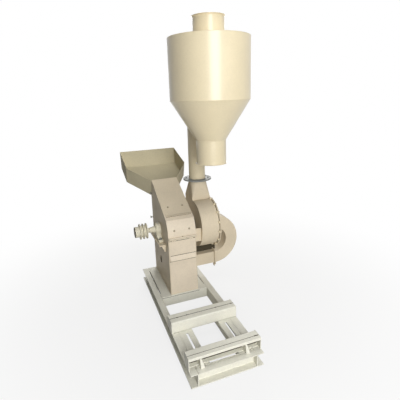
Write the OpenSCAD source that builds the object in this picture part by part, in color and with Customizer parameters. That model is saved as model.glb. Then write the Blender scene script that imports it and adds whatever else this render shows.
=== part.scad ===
// Flour mill: a hammer mill on a channel frame, with a feed hopper, a suction fan on the
// rotor shaft and a cyclone. Millimetres. X runs across the frame, Y from front to back,
// Z up. The origin is on the floor, in the middle of the front channel's bottom flange.

/* [Base frame] */
// Width of the base frame
frame_w = 600; // [560:10:680]
// Length of the base frame
frame_l = 1680; // [1600:10:1900]
// Height of the frame channels
rail_h = 112; // [100:1:130]
// Flange width of the frame channels
rail_f = 61; // [52:1:70]
// Plate thickness of the frame channels
rail_t = 7; // [5:0.5:8]
// Outer bend radius of the folded channels
fold_r = 11; // [9:0.5:14]
// Thickness of the plate under the mill
plate_t = 10; // [6:1:14]
// Width of the gap between that plate and the rails
plate_gap = 6; // [3:1:12]

/* [Motor mount] */
// Width of each motor rail
motor_rail_w = 119; // [100:1:140]
// Depth of each motor rail
motor_rail_d = 55; // [40:1:70]
// Length of the motor slots
slot_l = 300; // [200:5:310]
// Width of the motor slots
slot_w = 20; // [12:1:24]
// Height of the cross beams
beam_h = 104; // [80:1:120]
// Flange width of the cross beams
beam_f = 60; // [50:1:70]
// Plate thickness of the cross beams
beam_t = 6; // [4:0.5:8]
// Back face of the front beam, from the middle of the front channel
front_beam_y = 111; // [100:1:130]
// Clear distance between the two beams
motor_bay = 336; // [320:2:380]
// Width of the lip angle's flat leg
lip_w = 33; // [25:1:40]
// Height of the lip angle's hanging leg
lip_h = 24; // [15:1:35]
// Width of the open seam along each beam
seam = 3; // [1:0.5:5]
// Thickness of the beam gussets
gusset_t = 8; // [5:1:12]

/* [Mill body] */
// Outer width of the mill body
mill_w = 285; // [280:1:300]
// Length of the mill body, front to back
mill_l = 630; // [620:2:660]
// Sideways offset of the mill body from the frame's centre line
mill_off = 2.5; // [0:0.5:6]
// Wall thickness of the mill body
wall = 6; // [4:0.5:8]
// Height of the rotor shaft, where stand and hood part
shaft_z = 711; // [680:1:760]
// How far the flanges at the front of the parting line stand out
flange_d = 16; // [16:1:24]
// Thickness of those flanges
flange_t = 12; // [6:0.5:14]
// Radius of the shaft opening in the body's sides
shaft_hole_r = 40; // [36:1:48]
// Radius of the air inlet in the left side
air_r = 38; // [25:1:50]

/* [Screen door] */
// Height of the door's lower edge
door_z = 500; // [460:2:540]
// Thickness of the door
door_t = 5; // [3:0.5:6]
// How far the door's lip stands out
lip_out = 17; // [12:1:24]
// Height of the door's lip
door_lip_h = 48; // [30:1:60]
// Radius of the door's hinge pin
door_pin_r = 2.5; // [2:0.25:3]

/* [Hood] */
// How far the hood's curved front cover stands out in front of the stand
cover_out = 7; // [3:1:15]
// Thickness of the hood's sheet covers
cover_t = 4; // [3:0.5:5]
// Length of the front cover that the chute cover's flap laps over
flap_lap = 75; // [60:1:90]
// Distance of the flap from the hood's sides
flap_in = 14; // [8:1:30]
// How far the flap's lip stands up
flap_up = 13; // [8:1:18]
// Slope of the feed chute
chute_deg = 28.5; // [27:0.5:29]
// Height of the throat's lower edge above the shaft
throat_up = 280; // [276:2:300]
// Height of the throat, measured along its slope
throat_h = 192; // [190:1:200]
// Radius of the hood's hinge pin
hinge_r = 8; // [6:0.5:10]
// Height of the hinge pin above the shaft
hinge_up = 17; // [17:1:22]
// Distance from the back wall to the hinge pin
hinge_out = 26; // [24:1:32]

/* [Hopper] */
// Tilt of the hopper tray
tray_deg = 16; // [12:0.5:18]
// Width of the hopper tray
tray_w = 704; // [600:4:760]
// Length of the tapered front of the tray
tray_taper = 352; // [300:4:400]
// Length of the tray's floor
tray_l = 716; // [660:4:760]
// Depth of the tray
tray_d = 180; // [150:1:190]
// How far the tray's back wall leans out
tray_lean = 90; // [40:2:120]
// Sheet thickness of the tray
tray_t = 3; // [2:0.5:4]
// Thickness of the feed gate
gate_t = 3; // [2:0.5:4]

/* [Rotor] */
// Radius of the shaft between its two ends
shaft_r = 30; // [26:0.5:32]
// Radius of the shaft's two turned-down ends
end_r = 21; // [18:0.5:23]
// Number of rotor discs
disc_n = 5; // [4:1:5]
// Radius of the rotor discs
disc_r = 190; // [182:1:196]
// Thickness of the rotor discs
disc_t = 8; // [6:1:10]
// Clearance between the rotor and the mill's sides
rotor_side = 16.5; // [14:0.5:20]
// Radius of the rotor hub
hub_r = 45; // [38:1:46]
// Distance of the hammer pins from the shaft
pin_at = 160; // [158:1:164]
// Radius of the hammer pins
pin_r = 11; // [9:0.5:12]
// Reach of a hammer from its pin
hammer_l = 108; // [100:1:109]
// Width of a hammer
hammer_w = 50; // [40:1:54]
// Thickness of a hammer
hammer_t = 10; // [6:1:12]
// Sideways offset between neighbouring hammer rows
hammer_step = 24; // [20:1:26]

/* [Screen] */
// Clearance between hammer tips and screen
screen_gap = 10; // [6:1:12]
// Thickness of the screen
screen_t = 2.5; // [1.5:0.5:4]
// Radius of the screen's holes
screen_hole_r = 7; // [3:0.5:9]
// Number of holes around the screen
screen_around = 13; // [9:1:15]
// Number of holes across the screen
screen_across = 6; // [4:1:8]

/* [Bearings] */
// Width of the bearing shelf in front of the mill's left side
shelf_w = 65; // [60:1:80]
// Length of the bearing shelves
shelf_l = 410; // [360:5:440]
// Height of the shaft above the bearing shelves
shelf_drop = 101; // [95:1:110]
// Thickness of the bearing shelves
shelf_t = 12; // [8:1:16]
// Width of the pillow blocks along the shaft
block_w = 46; // [40:1:50]
// Length of the pillow blocks' feet
block_l = 250; // [220:2:280]
// Thickness of the pillow blocks' feet
block_foot = 24; // [18:1:30]
// Outer radius of the pillow blocks' housings
block_r = 66; // [62:1:72]
// Outer radius of the bearing inserts
bearing_r = 52; // [48:1:55]
// Running clearance of the shaft in its bearings
run_gap = 0.05; // [0.02:0.01:0.1]
// Length of the conical bearing cap
cap_l = 60; // [40:1:70]
// Radius of the pillow blocks' bolts
block_bolt_r = 8; // [6:0.5:9]

/* [Pulley] */
// Outer radius of the pulley
pulley_r = 80; // [72:1:95]
// Depth of the belt grooves
groove_d = 20; // [14:1:22]
// Width of a belt groove at its mouth
groove_w = 24.5; // [18:0.5:26]
// Distance between two rims
rim_pitch = 33.5; // [30:0.5:38]
// Number of belt grooves
groove_n = 2; // [1:1:3]
// Radius of the pulley's hub
pulley_hub_r = 55; // [44:1:58]
// Length of the hub beyond the rims
pulley_hub_l = 50; // [30:1:60]
// Distance from the conical cap to the pulley
pulley_gap = 26; // [15:1:40]

/* [Fan] */
// Distance from the mill's right side to the fan
fan_off = 95; // [90:1:110]
// Width of the fan casing
fan_w = 201; // [180:1:220]
// Casing radius at the top, where the spiral starts
scroll_r = 246; // [240:1:260]
// Growth of the casing radius over the spiral
scroll_grow = 14; // [6:1:24]
// Sheet thickness of the fan casing
fan_t = 4; // [3:0.5:5]
// Width of the bolted ring around the casing
ring_w = 18; // [18:1:24]
// Number of bolts around the ring
ring_bolts = 12; // [8:1:14]
// Front of the outlet neck, behind the shaft
neck_y = 28; // [20:1:40]
// Height of the neck's top above the shaft
neck_up = 264; // [262:1:290]
// Radius of the round suction eye
eye_r = 62; // [50:1:63]
// Outer radius of the impeller
impeller_r = 222; // [200:1:230]
// Number of impeller blades
blade_n = 8; // [6:1:10]
// Thickness of the impeller blades
blade_t = 5; // [3:0.5:6]

/* [Suction duct] */
// Height of the duct's section
duct_h = 132; // [128:1:140]
// Depth of the duct's section, front to back
duct_d = 140; // [130:1:150]
// Height of the duct's lower run
duct_z = 295; // [280:1:310]
// Sheet thickness of ducts and pipes
sheet_t = 3; // [2:0.5:4]
// Margin of the duct's joint flanges
joint_m = 18; // [12:1:24]

/* [Riser pipe] */
// Outer radius of the riser pipe
pipe_r = 88; // [80:1:92]
// Distance of the pipe behind the shaft
pipe_back = 128; // [120:1:140]
// Height of the flange joint in the pipe
pipe_joint_z = 1171; // [1140:1:1240]
// Radius of the pipe's flanges
pipe_flange_r = 152; // [135:1:160]
// Thickness of each pipe flange
pipe_flange_t = 7; // [5:1:10]
// Bend radius of the elbow
elbow_r = 150; // [135:1:155]

/* [Cyclone] */
// Outer radius of the barrel
barrel_r = 362; // [352:1:368]
// Height of the barrel
barrel_h = 521; // [480:1:600]
// Height of the barrel's lower edge
barrel_z = 2009; // [1960:1:2100]
// Height of the cone
cone_h = 359; // [320:1:400]
// Outer radius of the discharge collar
collar_r = 139; // [120:1:150]
// Length of the discharge collar
collar_l = 218; // [150:1:240]
// Outer radius of the air outlet tube
outlet_r = 137; // [120:1:150]
// Height of the air outlet above the roof
outlet_up = 172; // [120:1:220]
// Depth of the air outlet tube inside the barrel
outlet_down = 300; // [260:1:340]
// Width of the turned-out rims
flare = 11; // [6:0.5:16]
// Distance of the cyclone's axis in front of the pipe
cyclone_front = 490; // [480:1:510]
// Sideways distance from the pipe to the cyclone's axis
cyclone_side = 29; // [20:1:40]

/* [Hidden] */

// Number of sides of a round face
$fn = 64;
// Cutting tools reach this far past the faces that they cut
cut = 1;
// Side play of loose flat pieces
play = 0.5;
// Play of a bolt in its hole
bolt_gap = 0.5;

cream = "#d8c9a8";
cream_dark = "#bfb293";
frame_grey = "#c9c6b4";
bare_steel = "#8f9194";
cast_paint = "#cfc8b0";

// Frame: the front edge, the back edge and the inner faces of the rails
front_y = -rail_f / 2;
back_y = front_y + frame_l;
web_x = frame_w / 2 - rail_f;
rear_beam_y = front_beam_y + motor_bay;
slot_end = rear_beam_y - 30;
beam_top = rail_h + beam_h;

// Mill body
mill_x0 = mill_off - mill_w / 2;
mill_x1 = mill_off + mill_w / 2;
mill_y1 = back_y - cover_t;
mill_y0 = mill_y1 - mill_l;
shaft_y = mill_y0 + mill_l / 2;
cover_r = mill_l / 2 + cover_out;
plate_y0 = mill_y0 - 16;
in_x0 = mill_x0 + wall;
in_x1 = mill_x1 - wall;
hinge_y = mill_y1 + hinge_out;
hinge_z = shaft_z + hinge_up;
hood_z = shaft_z + play;
seam_bolt_r = 4;
flange_y0 = shaft_y - cover_r - flange_d;
seam_bolt_y = flange_y0 + 8;
// Distance of the hood's bolts from the mill's sides
hood_bolt_in = 66.5;

// Throat: its lower edge, and the directions along the tray and across it
throat_y = mill_y1 + 2;
throat_z = shaft_z + throat_up;
chute_top_y = throat_y - throat_h * sin(tray_deg);
chute_top_z = throat_z + throat_h * cos(tray_deg);
// Distance from the shaft to the chute's outer plane, and where that plane meets the front cover
chute_dist = (chute_top_z - shaft_z) * cos(chute_deg) - (chute_top_y - shaft_y) * sin(chute_deg);
chute_fold = 90 + chute_deg + acos(chute_dist / cover_r);

// Screen door
door_hinge_y = mill_y0 - 8;
door_hinge_z = shaft_z - flange_t - door_pin_r - 3.5;
door_top = door_hinge_z + 2;
knuckle_r = door_pin_r + 2.5;

// Rotor
pin_n = 4;
tip_r = pin_at + hammer_l;
rotor_l = in_x1 - in_x0 - 2 * rotor_side;
disc_gap = (rotor_l - disc_n * disc_t) / (disc_n - 1);
rotor_x0 = mill_off - rotor_l / 2;
screen_r = tip_r + screen_gap;
hammer_rest = -90;

// Bearings
block_x_left = mill_x0 - 2 - block_w;
fan_x0 = mill_x1 + fan_off;
fan_x1 = fan_x0 + fan_w;
block_x_right = (mill_x1 + fan_x0 - block_w) / 2;
shelf_z = shaft_z - shelf_drop;
block_bolt_at = block_l / 2 - 25;
cap_x = block_x_left - 6 - cap_l;

// Pulley
pulley_w = groove_n * rim_pitch + rim_pitch - groove_w;
pulley_x1 = cap_x - pulley_gap;
pulley_x0 = pulley_x1 - pulley_w;
hub_x0 = pulley_x0 - pulley_hub_l;

// Fan and ducts
eye_x = fan_x1 + fan_t;
neck_z = shaft_z + neck_up;
bend_r = (shaft_z - duct_z) / 2;
bend_z = (shaft_z + duct_z) / 2;
neck_y0 = shaft_y + neck_y;
neck_y1 = shaft_y + scroll_r + scroll_grow;
// The impeller's sleeve ends here, and the shaft end reaches on through the nut
sleeve_x = fan_x0 + 140;
shaft_end_x = sleeve_x + 20;

// Riser and cyclone
pipe_x = (fan_x0 + fan_x1) / 2;
pipe_y = shaft_y + pipe_back;
cyc_x = pipe_x - cyclone_side;
cyc_y = pipe_y - cyclone_front;
barrel_top = barrel_z + barrel_h;
cone_z = barrel_z - cone_h;
collar_z = cone_z - collar_l;
inlet_z = barrel_top - pipe_r - 85;
inlet_reach = norm([cyclone_front, cyclone_side]);
// The inlet runs along the inside of the barrel's wall
inlet_off = barrel_r - sheet_t - pipe_r - 4;
inlet_along = sqrt(inlet_reach * inlet_reach - inlet_off * inlet_off);
inlet_deg = -90 - atan(cyclone_side / cyclone_front) + asin(inlet_off / inlet_reach);

// Corner-rounded side view of a folded channel, open to the right
module fold_side(h, f, r) {
    translate([r, 0]) square([f - r, h]);
    translate([0, r]) square([r + 0.01, h - 2 * r]);
    for (y = [r, h - r]) translate([r, y]) circle(r);
}

module fold_profile(h, f, t) {
    difference() {
        fold_side(h, f, fold_r);
        translate([t, t]) fold_side(h - 2 * t, f, max(fold_r - t, 0.5));
    }
}

// Channel along +Y with its web at X = 0 and its flanges towards +X
module channel_y(l, h, f, t) {
    translate([0, l, 0]) rotate([90, 0, 0]) linear_extrude(l) fold_profile(h, f, t);
}

// Channel along X, centred, with its web at Y = 0 and its flanges towards +Y
module channel_x(l, h, f, t) {
    translate([l / 2, 0, 0]) rotate([0, 0, 90]) channel_y(l, h, f, t);
}

// A plate that stands across X, drawn in the YZ plane
module side_plate(x, t) {
    translate([x, 0, 0]) rotate([90, 0, 90]) linear_extrude(t) children();
}

// A round bar along X
module bar_x(x0, x1, r) {
    translate([x0, 0, 0]) rotate([0, 90, 0]) cylinder(h = x1 - x0, r = r);
}

module at_shaft() {
    translate([0, shaft_y, shaft_z]) children();
}

module tube(h, r, t) {
    difference() {
        cylinder(h = h, r = r);
        translate([0, 0, -cut]) cylinder(h = h + 2 * cut, r = r - t);
    }
}

module hex_head(r, h) {
    cylinder(h = h, r = r, $fn = 6);
}

// Part of a flat ring between two angles
module sector(r0, r1, a0, a1) {
    steps = 12;
    far = r1 * 1.3;
    intersection() {
        difference() {
            circle(r1);
            circle(r0);
        }
        polygon(concat([[0, 0]],
            [for (i = [0:steps]) let (a = a0 + (a1 - a0) * i / steps) far * [cos(a), sin(a)]]));
    }
}

// Frame
module rail_left() {
    color(frame_grey) mirror([1, 0, 0]) translate([web_x, front_y, 0])
        channel_y(frame_l, rail_h, rail_f, rail_t);
}

module rail_right() {
    color(frame_grey) translate([web_x, front_y, 0]) channel_y(frame_l, rail_h, rail_f, rail_t);
}

module front_channel() {
    color(frame_grey) translate([0, front_y + rail_f, 0]) mirror([0, 1, 0])
        channel_x(2 * web_x, rail_h, rail_f, rail_t);
}

module rear_channel() {
    color(frame_grey) translate([0, back_y - rail_f, 0]) channel_x(2 * web_x, rail_h, rail_f, rail_t);
}

module cross_channels() {
    color(frame_grey) for (y = [plate_y0 + 6, shaft_y])
        translate([0, y, 0]) channel_x(2 * web_x, rail_h - plate_t, rail_f, rail_t);
}

module base_plate() {
    plate_l = back_y - rail_f - plate_y0;
    color(cream) difference() {
        translate([-web_x, plate_y0, rail_h - plate_t]) cube([2 * web_x, plate_l, plate_t]);
        for (x = [-web_x - cut, web_x - plate_gap])
            translate([x, plate_y0 + 77, rail_h - plate_t - cut])
                cube([plate_gap + cut, plate_l - 87, plate_t + 2 * cut]);
    }
}

// Motor mount
module motor_rail_right() {
    rail_l = rear_beam_y + 2 * beam_f - front_y - rail_f;
    color(frame_grey) difference() {
        translate([web_x - motor_rail_w, front_y + rail_f + rail_l, rail_h]) rotate([90, 0, 0])
            linear_extrude(rail_l) rotate(-90) fold_profile(motor_rail_w, motor_rail_d, rail_t);
        translate([web_x - motor_rail_w / 2, slot_end - slot_l / 2, rail_h - rail_t - cut]) {
            for (y = [-1, 1] * (slot_l - slot_w) / 2)
                translate([0, y, 0]) cylinder(h = rail_t + 2 * cut, d = slot_w);
            translate([-slot_w / 2, (slot_w - slot_l) / 2, 0])
                cube([slot_w, slot_l - slot_w, rail_t + 2 * cut]);
        }
    }
}

module motor_rail_left() {
    mirror([1, 0, 0]) motor_rail_right();
}

module rear_beam_front() {
    color(frame_grey) translate([0, rear_beam_y, rail_h]) channel_x(frame_w, beam_h, beam_f, beam_t);
}

module rear_beam_back() {
    color(frame_grey) translate([0, rear_beam_y + 2 * beam_f + seam, rail_h]) mirror([0, 1, 0])
        channel_x(frame_w, beam_h, beam_f, beam_t);
}

module front_beam() {
    color(frame_grey) translate([0, front_beam_y, rail_h]) mirror([0, 1, 0])
        channel_x(frame_w, beam_h, beam_f, beam_t);
}

lip_y1 = front_beam_y - beam_f - seam;

module front_beam_lip() {
    color(frame_grey) side_plate(-frame_w / 2, frame_w) {
        translate([lip_y1 - lip_w, beam_top - beam_t]) square([lip_w, beam_t]);
        translate([lip_y1 - lip_w, beam_top - lip_h]) square([beam_t, lip_h]);
    }
}

module beam_gussets() {
    lip_y0 = lip_y1 - lip_w + beam_t;
    web_y = front_beam_y - beam_t;
    color(frame_grey) for (x = [34 - web_x, web_x - 69]) side_plate(x - gusset_t / 2, gusset_t) polygon([
        [web_y, rail_h + fold_r], [web_y - fold_r, rail_h + beam_t], [lip_y1, rail_h + beam_t],
        [lip_y1, rail_h], [lip_y0 - lip_w / 2, rail_h], [lip_y0, beam_top - lip_h],
        [lip_y0, beam_top - beam_t], [web_y - fold_r, beam_top - beam_t], [web_y, beam_top - fold_r]
    ]);
}

// Stand, the lower half of the mill body
module stand_side(x) {
    side_plate(x, wall) difference() {
        translate([mill_y0, rail_h]) square([mill_l, shaft_z - rail_h]);
        translate([shaft_y, shaft_z]) circle(shaft_hole_r);
        children();
    }
}

module stand_left() {
    color(cream_dark) stand_side(mill_x0)
        translate([shaft_y + 45, duct_z + 45]) circle(air_r);
}

module stand_right() {
    color(cream_dark) stand_side(in_x1) translate([shaft_y, duct_z])
        square([duct_d - 2 * sheet_t, duct_h - 2 * sheet_t], center = true);
}

// Point where a line from the back wall at height z touches the round hinge eye
function eye_tangent(z, side) =
    let (p = [mill_y1 - hinge_y, z - hinge_z], a = atan2(p[1], p[0]) + side * acos(eye_lug_r / norm(p)))
    [hinge_y + eye_lug_r * cos(a), hinge_z + eye_lug_r * sin(a)];

// Hinge lug in the YZ plane: a round eye on a web that widens to the back wall
module lug_profile(z0, z1) {
    difference() {
        union() {
            translate([hinge_y, hinge_z]) circle(eye_lug_r);
            polygon([
                [mill_y1 - wall / 2, z0], [mill_y1, z0], eye_tangent(z0, 1), [hinge_y, hinge_z],
                eye_tangent(z1, -1), [mill_y1, z1], [mill_y1 - wall / 2, z1]
            ]);
        }
        translate([hinge_y, hinge_z]) circle(hinge_r + run_gap);
    }
}

lug_t = 10;
lug_x = mill_w / 2 - 28;
eye_lug_r = hinge_r + 9;

module stand_back() {
    color(cream_dark) {
        translate([in_x0, mill_y1 - wall, rail_h]) cube([in_x1 - in_x0, wall, shaft_z - rail_h]);
        for (s = [-1, 1]) side_plate(mill_off + s * lug_x - lug_t / 2, lug_t)
            lug_profile(shaft_z - 30, shaft_z - play);
    }
}

module stand_front() {
    color(cream) translate([in_x0, mill_y0, rail_h]) cube([in_x1 - in_x0, wall, door_z - rail_h - 2 * play]);
}

knuckle_l = 20;
knuckle_x = mill_w / 2 - 45;

module knuckle(x, z0, z1, y1) {
    difference() {
        union() {
            translate([x, door_hinge_y, door_hinge_z]) bar_x(0, knuckle_l, knuckle_r);
            translate([x, door_hinge_y, z0]) cube([knuckle_l, y1 - door_hinge_y, z1 - z0]);
        }
        translate([x, door_hinge_y, door_hinge_z]) bar_x(-cut, knuckle_l + cut, door_pin_r + run_gap);
    }
}

module stand_flange() {
    color(cream_dark) {
        difference() {
            union() {
                translate([mill_x0, flange_y0, shaft_z - flange_t])
                    cube([mill_w, mill_y0 - flange_y0, flange_t]);
                translate([in_x0, mill_y0, shaft_z - flange_t])
                    cube([in_x1 - in_x0, 20, flange_t]);
            }
            translate([mill_off, seam_bolt_y, shaft_z - flange_t - cut])
                cylinder(h = flange_t + 2 * cut, r = seam_bolt_r + 2 * bolt_gap);
        }
        for (s = [-1, 1])
            knuckle(mill_off + s * knuckle_x - knuckle_l / 2, door_hinge_z, shaft_z - flange_t,
                door_hinge_y + knuckle_r);
    }
}

module door_pin() {
    color(bare_steel) translate([mill_off, door_hinge_y, door_hinge_z])
        bar_x(-knuckle_x - knuckle_l / 2 - 3, knuckle_x + knuckle_l / 2 + 3, door_pin_r);
}

lip_in = 12;

module screen_door() {
    color(cream) {
        translate([in_x0 + play, mill_y0, door_z])
            cube([in_x1 - in_x0 - 2 * play, door_t, door_top - door_z]);
        side_plate(mill_x0 + lip_in, mill_w - 2 * lip_in) polygon([
            [mill_y0, door_z + 28], [mill_y0, door_z + 16], [mill_y0 - lip_out + 3, door_z + 28 - door_lip_h],
            [mill_y0 - lip_out, door_z + 28 - door_lip_h], [mill_y0 - lip_out, door_z + 34 - door_lip_h]
        ]);
        for (s = [-1, 1])
            knuckle(mill_off + s * (knuckle_x - knuckle_l - 1) - knuckle_l / 2,
                door_hinge_z - knuckle_r, door_hinge_z, mill_y0 + door_t);
    }
}

// Screen around the lower half of the rotor
screen_a0 = 186;
screen_a1 = 354;

module screen() {
    x0 = in_x0 + 1;
    screen_w = in_x1 - in_x0 - 2;
    color(bare_steel) difference() {
        side_plate(x0, screen_w) translate([shaft_y, shaft_z])
            sector(screen_r, screen_r + screen_t, screen_a0, screen_a1);
        at_shaft() for (i = [1:screen_around], j = [1:screen_across])
            rotate([screen_a0 + (screen_a1 - screen_a0) * i / (screen_around + 1), 0, 0])
                translate([x0 + screen_w * j / (screen_across + 1), screen_r - 5, 0])
                    rotate([-90, 0, 0]) cylinder(h = screen_t + 10, r = screen_hole_r, $fn = 24);
    }
}

module screen_rails() {
    rail = 14;
    color(cream_dark) for (x = [in_x0, in_x1 - rail]) side_plate(x, rail) translate([shaft_y, shaft_z])
        sector(screen_r + screen_t, screen_r + screen_t + 8, screen_a0, screen_a1);
}

// Bearings
module shelf_bolt_holes(x) {
    for (s = [-1, 1]) translate([x, shaft_y + s * block_bolt_at, shelf_z - shelf_t - cut])
        cylinder(h = shelf_t + 2 * cut, r = block_bolt_r + bolt_gap);
}

module bearing_shelf_left() {
    brace = 8;
    brace_h = 62;
    brace_w = 40;
    shelf_x0 = mill_x0 - shelf_w;
    color(cream) difference() {
        union() {
            translate([shelf_x0, shaft_y - shelf_l / 2, shelf_z - shelf_t]) cube([shelf_w, shelf_l, shelf_t]);
            for (y = [shaft_y - shelf_l / 2 + brace, shaft_y + shelf_l / 2])
                translate([0, y, 0]) rotate([90, 0, 0]) linear_extrude(brace) polygon([
                    [mill_x0, shelf_z - shelf_t], [mill_x0, shelf_z - shelf_t - brace_h],
                    [mill_x0 - 12, shelf_z - shelf_t - brace_h], [mill_x0 - brace_w, shelf_z - shelf_t]
                ]);
        }
        shelf_bolt_holes(block_x_left + block_w / 2);
    }
}

module bearing_shelf_right() {
    front_up = 18;
    front_down = 24;
    color(cream) difference() {
        union() {
            translate([mill_x1, shaft_y - shelf_l / 2, shelf_z - shelf_t]) cube([fan_off, shelf_l, shelf_t]);
            translate([mill_x1, shaft_y - shelf_l / 2 - wall, shelf_z - front_down])
                cube([fan_off, wall, front_down]);
            translate([mill_x1 + 2 * play, shaft_y - shelf_l / 2 - wall, shelf_z])
                cube([fan_off - 2 * play, wall, shelf_drop + front_up]);
        }
        shelf_bolt_holes(block_x_right + block_w / 2);
    }
}

module pillow_block(x) {
    ring_mid = (block_r + bearing_r) / 2;
    difference() {
        union() {
            at_shaft() bar_x(x, x + block_w, block_r);
            side_plate(x, block_w) translate([shaft_y, shelf_z]) polygon(concat(
                [[block_l / 2 - 42, block_foot / 2], [42 - block_l / 2, block_foot / 2]],
                [for (a = [-60:20:60]) [ring_mid * sin(a), shelf_drop - ring_mid * cos(a)]]
            ));
            translate([x, shaft_y - block_l / 2, shelf_z]) cube([block_w, block_l, block_foot]);
        }
        at_shaft() bar_x(x - cut, x + block_w + cut, bearing_r);
        for (s = [-1, 1]) translate([x + block_w / 2, shaft_y + s * block_bolt_at, shelf_z - cut])
            cylinder(h = block_foot + 2 * cut, r = block_bolt_r + bolt_gap);
    }
}

module pillow_block_left() {
    color(cast_paint) pillow_block(block_x_left);
}

module pillow_block_right() {
    color(cast_paint) pillow_block(block_x_right);
}

module bearing_inserts() {
    color(bare_steel) for (x = [block_x_left, block_x_right])
        at_shaft() difference() {
            bar_x(x + 2, x + block_w - 2, bearing_r);
            bar_x(x, x + block_w, shaft_r + run_gap);
        }
}

module bearing_cap() {
    small_r = end_r + 4;
    big_r = 37;
    color(cast_paint) at_shaft() rotate([0, 90, 0]) difference() {
        union() {
            translate([0, 0, cap_x]) cylinder(h = cap_l, r1 = small_r, r2 = big_r);
            translate([0, 0, cap_x + cap_l]) cylinder(h = 6, r = bearing_r + 6);
        }
        translate([0, 0, cap_x - cut]) cylinder(h = cap_l + 6 + 2 * cut, r = end_r + 2);
        translate([0, 0, cap_x + cap_l - 20]) cylinder(h = 26 + cut, r = shaft_r + 2);
    }
}

// Shaft and pulley
module rotor_shaft() {
    color(bare_steel) at_shaft() {
        bar_x(hub_x0 + 6, cap_x + cap_l - 14, end_r);
        bar_x(cap_x + cap_l - 14, fan_x0 + fan_t + 6, shaft_r);
        bar_x(fan_x0 + fan_t + 6, shaft_end_x, end_r);
    }
}

module drive_pulley() {
    land = rim_pitch - groove_w;
    inner = groove_w - 2 * groove_d * tan(19);
    rim_points = [for (i = [0:groove_n - 1]) let (x = land + i * rim_pitch) each [
        [pulley_r, x], [pulley_r - groove_d, x + (groove_w - inner) / 2],
        [pulley_r - groove_d, x + (groove_w + inner) / 2], [pulley_r, x + groove_w]
    ]];
    color(cast_paint) at_shaft() rotate([0, 90, 0]) translate([0, 0, pulley_x0]) rotate_extrude()
        polygon(concat(
            [[end_r + run_gap, -pulley_hub_l + 14], [end_r + 12, -pulley_hub_l + 8], [end_r + 12, -pulley_hub_l],
                [pulley_hub_r, -pulley_hub_l], [pulley_hub_r, 0], [pulley_r, 0]],
            rim_points,
            [[pulley_r, pulley_w], [end_r + run_gap, pulley_w]]
        ));
}

// Rotor
function disc_x(i) = rotor_x0 + i * (disc_t + disc_gap);
function gap_mid(i) = disc_x(i) + disc_t + disc_gap / 2;
function pin_deg(k) = 45 + k * 360 / pin_n;
function row_shift(k) = (k % 2 == 0 ? -1 : 1) * hammer_step / 2;

module at_pin(k) {
    at_shaft() rotate([pin_deg(k), 0, 0]) translate([0, pin_at, 0]) children();
}

module rotor_discs() {
    color(bare_steel) difference() {
        at_shaft() {
            bar_x(rotor_x0, rotor_x0 + rotor_l, hub_r);
            for (i = [0:disc_n - 1]) bar_x(disc_x(i), disc_x(i) + disc_t, disc_r);
        }
        at_shaft() bar_x(rotor_x0 - cut, rotor_x0 + rotor_l + cut, shaft_r + run_gap);
        for (k = [0:pin_n - 1]) at_pin(k)
            bar_x(rotor_x0 - cut, rotor_x0 + rotor_l + cut, pin_r + run_gap);
    }
}

module hammer_pins() {
    head = 5;
    color(bare_steel) for (k = [0:pin_n - 1]) at_pin(k) {
        bar_x(rotor_x0 - head, rotor_x0 + rotor_l + head, pin_r);
        for (x = [rotor_x0 - head, rotor_x0 + rotor_l]) bar_x(x, x + head, pin_r + 4);
    }
}

module spacer(x0, x1) {
    difference() {
        bar_x(x0, x1, pin_r + 6);
        bar_x(x0 - cut, x1 + cut, pin_r + run_gap);
    }
}

module hammer_spacers() {
    color(bare_steel) for (k = [0:pin_n - 1], i = [0:disc_n - 2]) at_pin(k) {
        middle = gap_mid(i) + row_shift(k);
        spacer(gap_mid(i) - disc_gap / 2, middle - hammer_t / 2 - play);
        spacer(middle + hammer_t / 2 + play, gap_mid(i) + disc_gap / 2);
    }
}

// One hammer in the YZ plane, its pin at the origin, hanging down
module hammer_profile() {
    notch = 8;
    difference() {
        union() {
            circle(hammer_w / 2);
            translate([0, -hammer_w / 2]) square([hammer_l, hammer_w]);
        }
        for (y = [-hammer_w / 2 - cut, hammer_w / 2 - notch])
            translate([hammer_l - 2 * notch, y]) square([2 * notch + cut, notch + cut]);
        circle(pin_r + 1.6 * run_gap);
    }
}

module hammers(k) {
    pin_y = pin_at * cos(pin_deg(k));
    pin_z = pin_at * sin(pin_deg(k));
    color(bare_steel) for (i = [0:disc_n - 2]) at_shaft()
        side_plate(gap_mid(i) + row_shift(k) - hammer_t / 2, hammer_t)
            translate([pin_y, pin_z]) rotate(hammer_rest) hammer_profile();
}

module hammers_1() { hammers(0); }
module hammers_2() { hammers(1); }
module hammers_3() { hammers(2); }
module hammers_4() { hammers(3); }

module impeller() {
    disc_at = fan_x0 + fan_t + 18;
    sleeve_r = 36;
    blade_w = fan_w - 70;
    color(bare_steel) at_shaft() difference() {
        union() {
            bar_x(fan_x0 + fan_t + 8, sleeve_x, sleeve_r);
            bar_x(disc_at, disc_at + 5, impeller_r * 0.9);
            for (i = [0:blade_n - 1]) rotate([i * 360 / blade_n, 0, 0])
                translate([disc_at, sleeve_r - 5, -blade_t / 2])
                    cube([blade_w, impeller_r - sleeve_r + 5, blade_t]);
        }
        bar_x(fan_x0, sleeve_x + cut, end_r + run_gap);
        bar_x(sleeve_x, fan_x1, sleeve_r + 5);
    }
}

module shaft_nut() {
    color(bare_steel) at_shaft() difference() {
        translate([sleeve_x + 0.1, 0, 0]) rotate([0, 90, 0]) cylinder(h = 16, r = 34, $fn = 6);
        bar_x(sleeve_x - cut, shaft_end_x, end_r + run_gap);
    }
}

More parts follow.
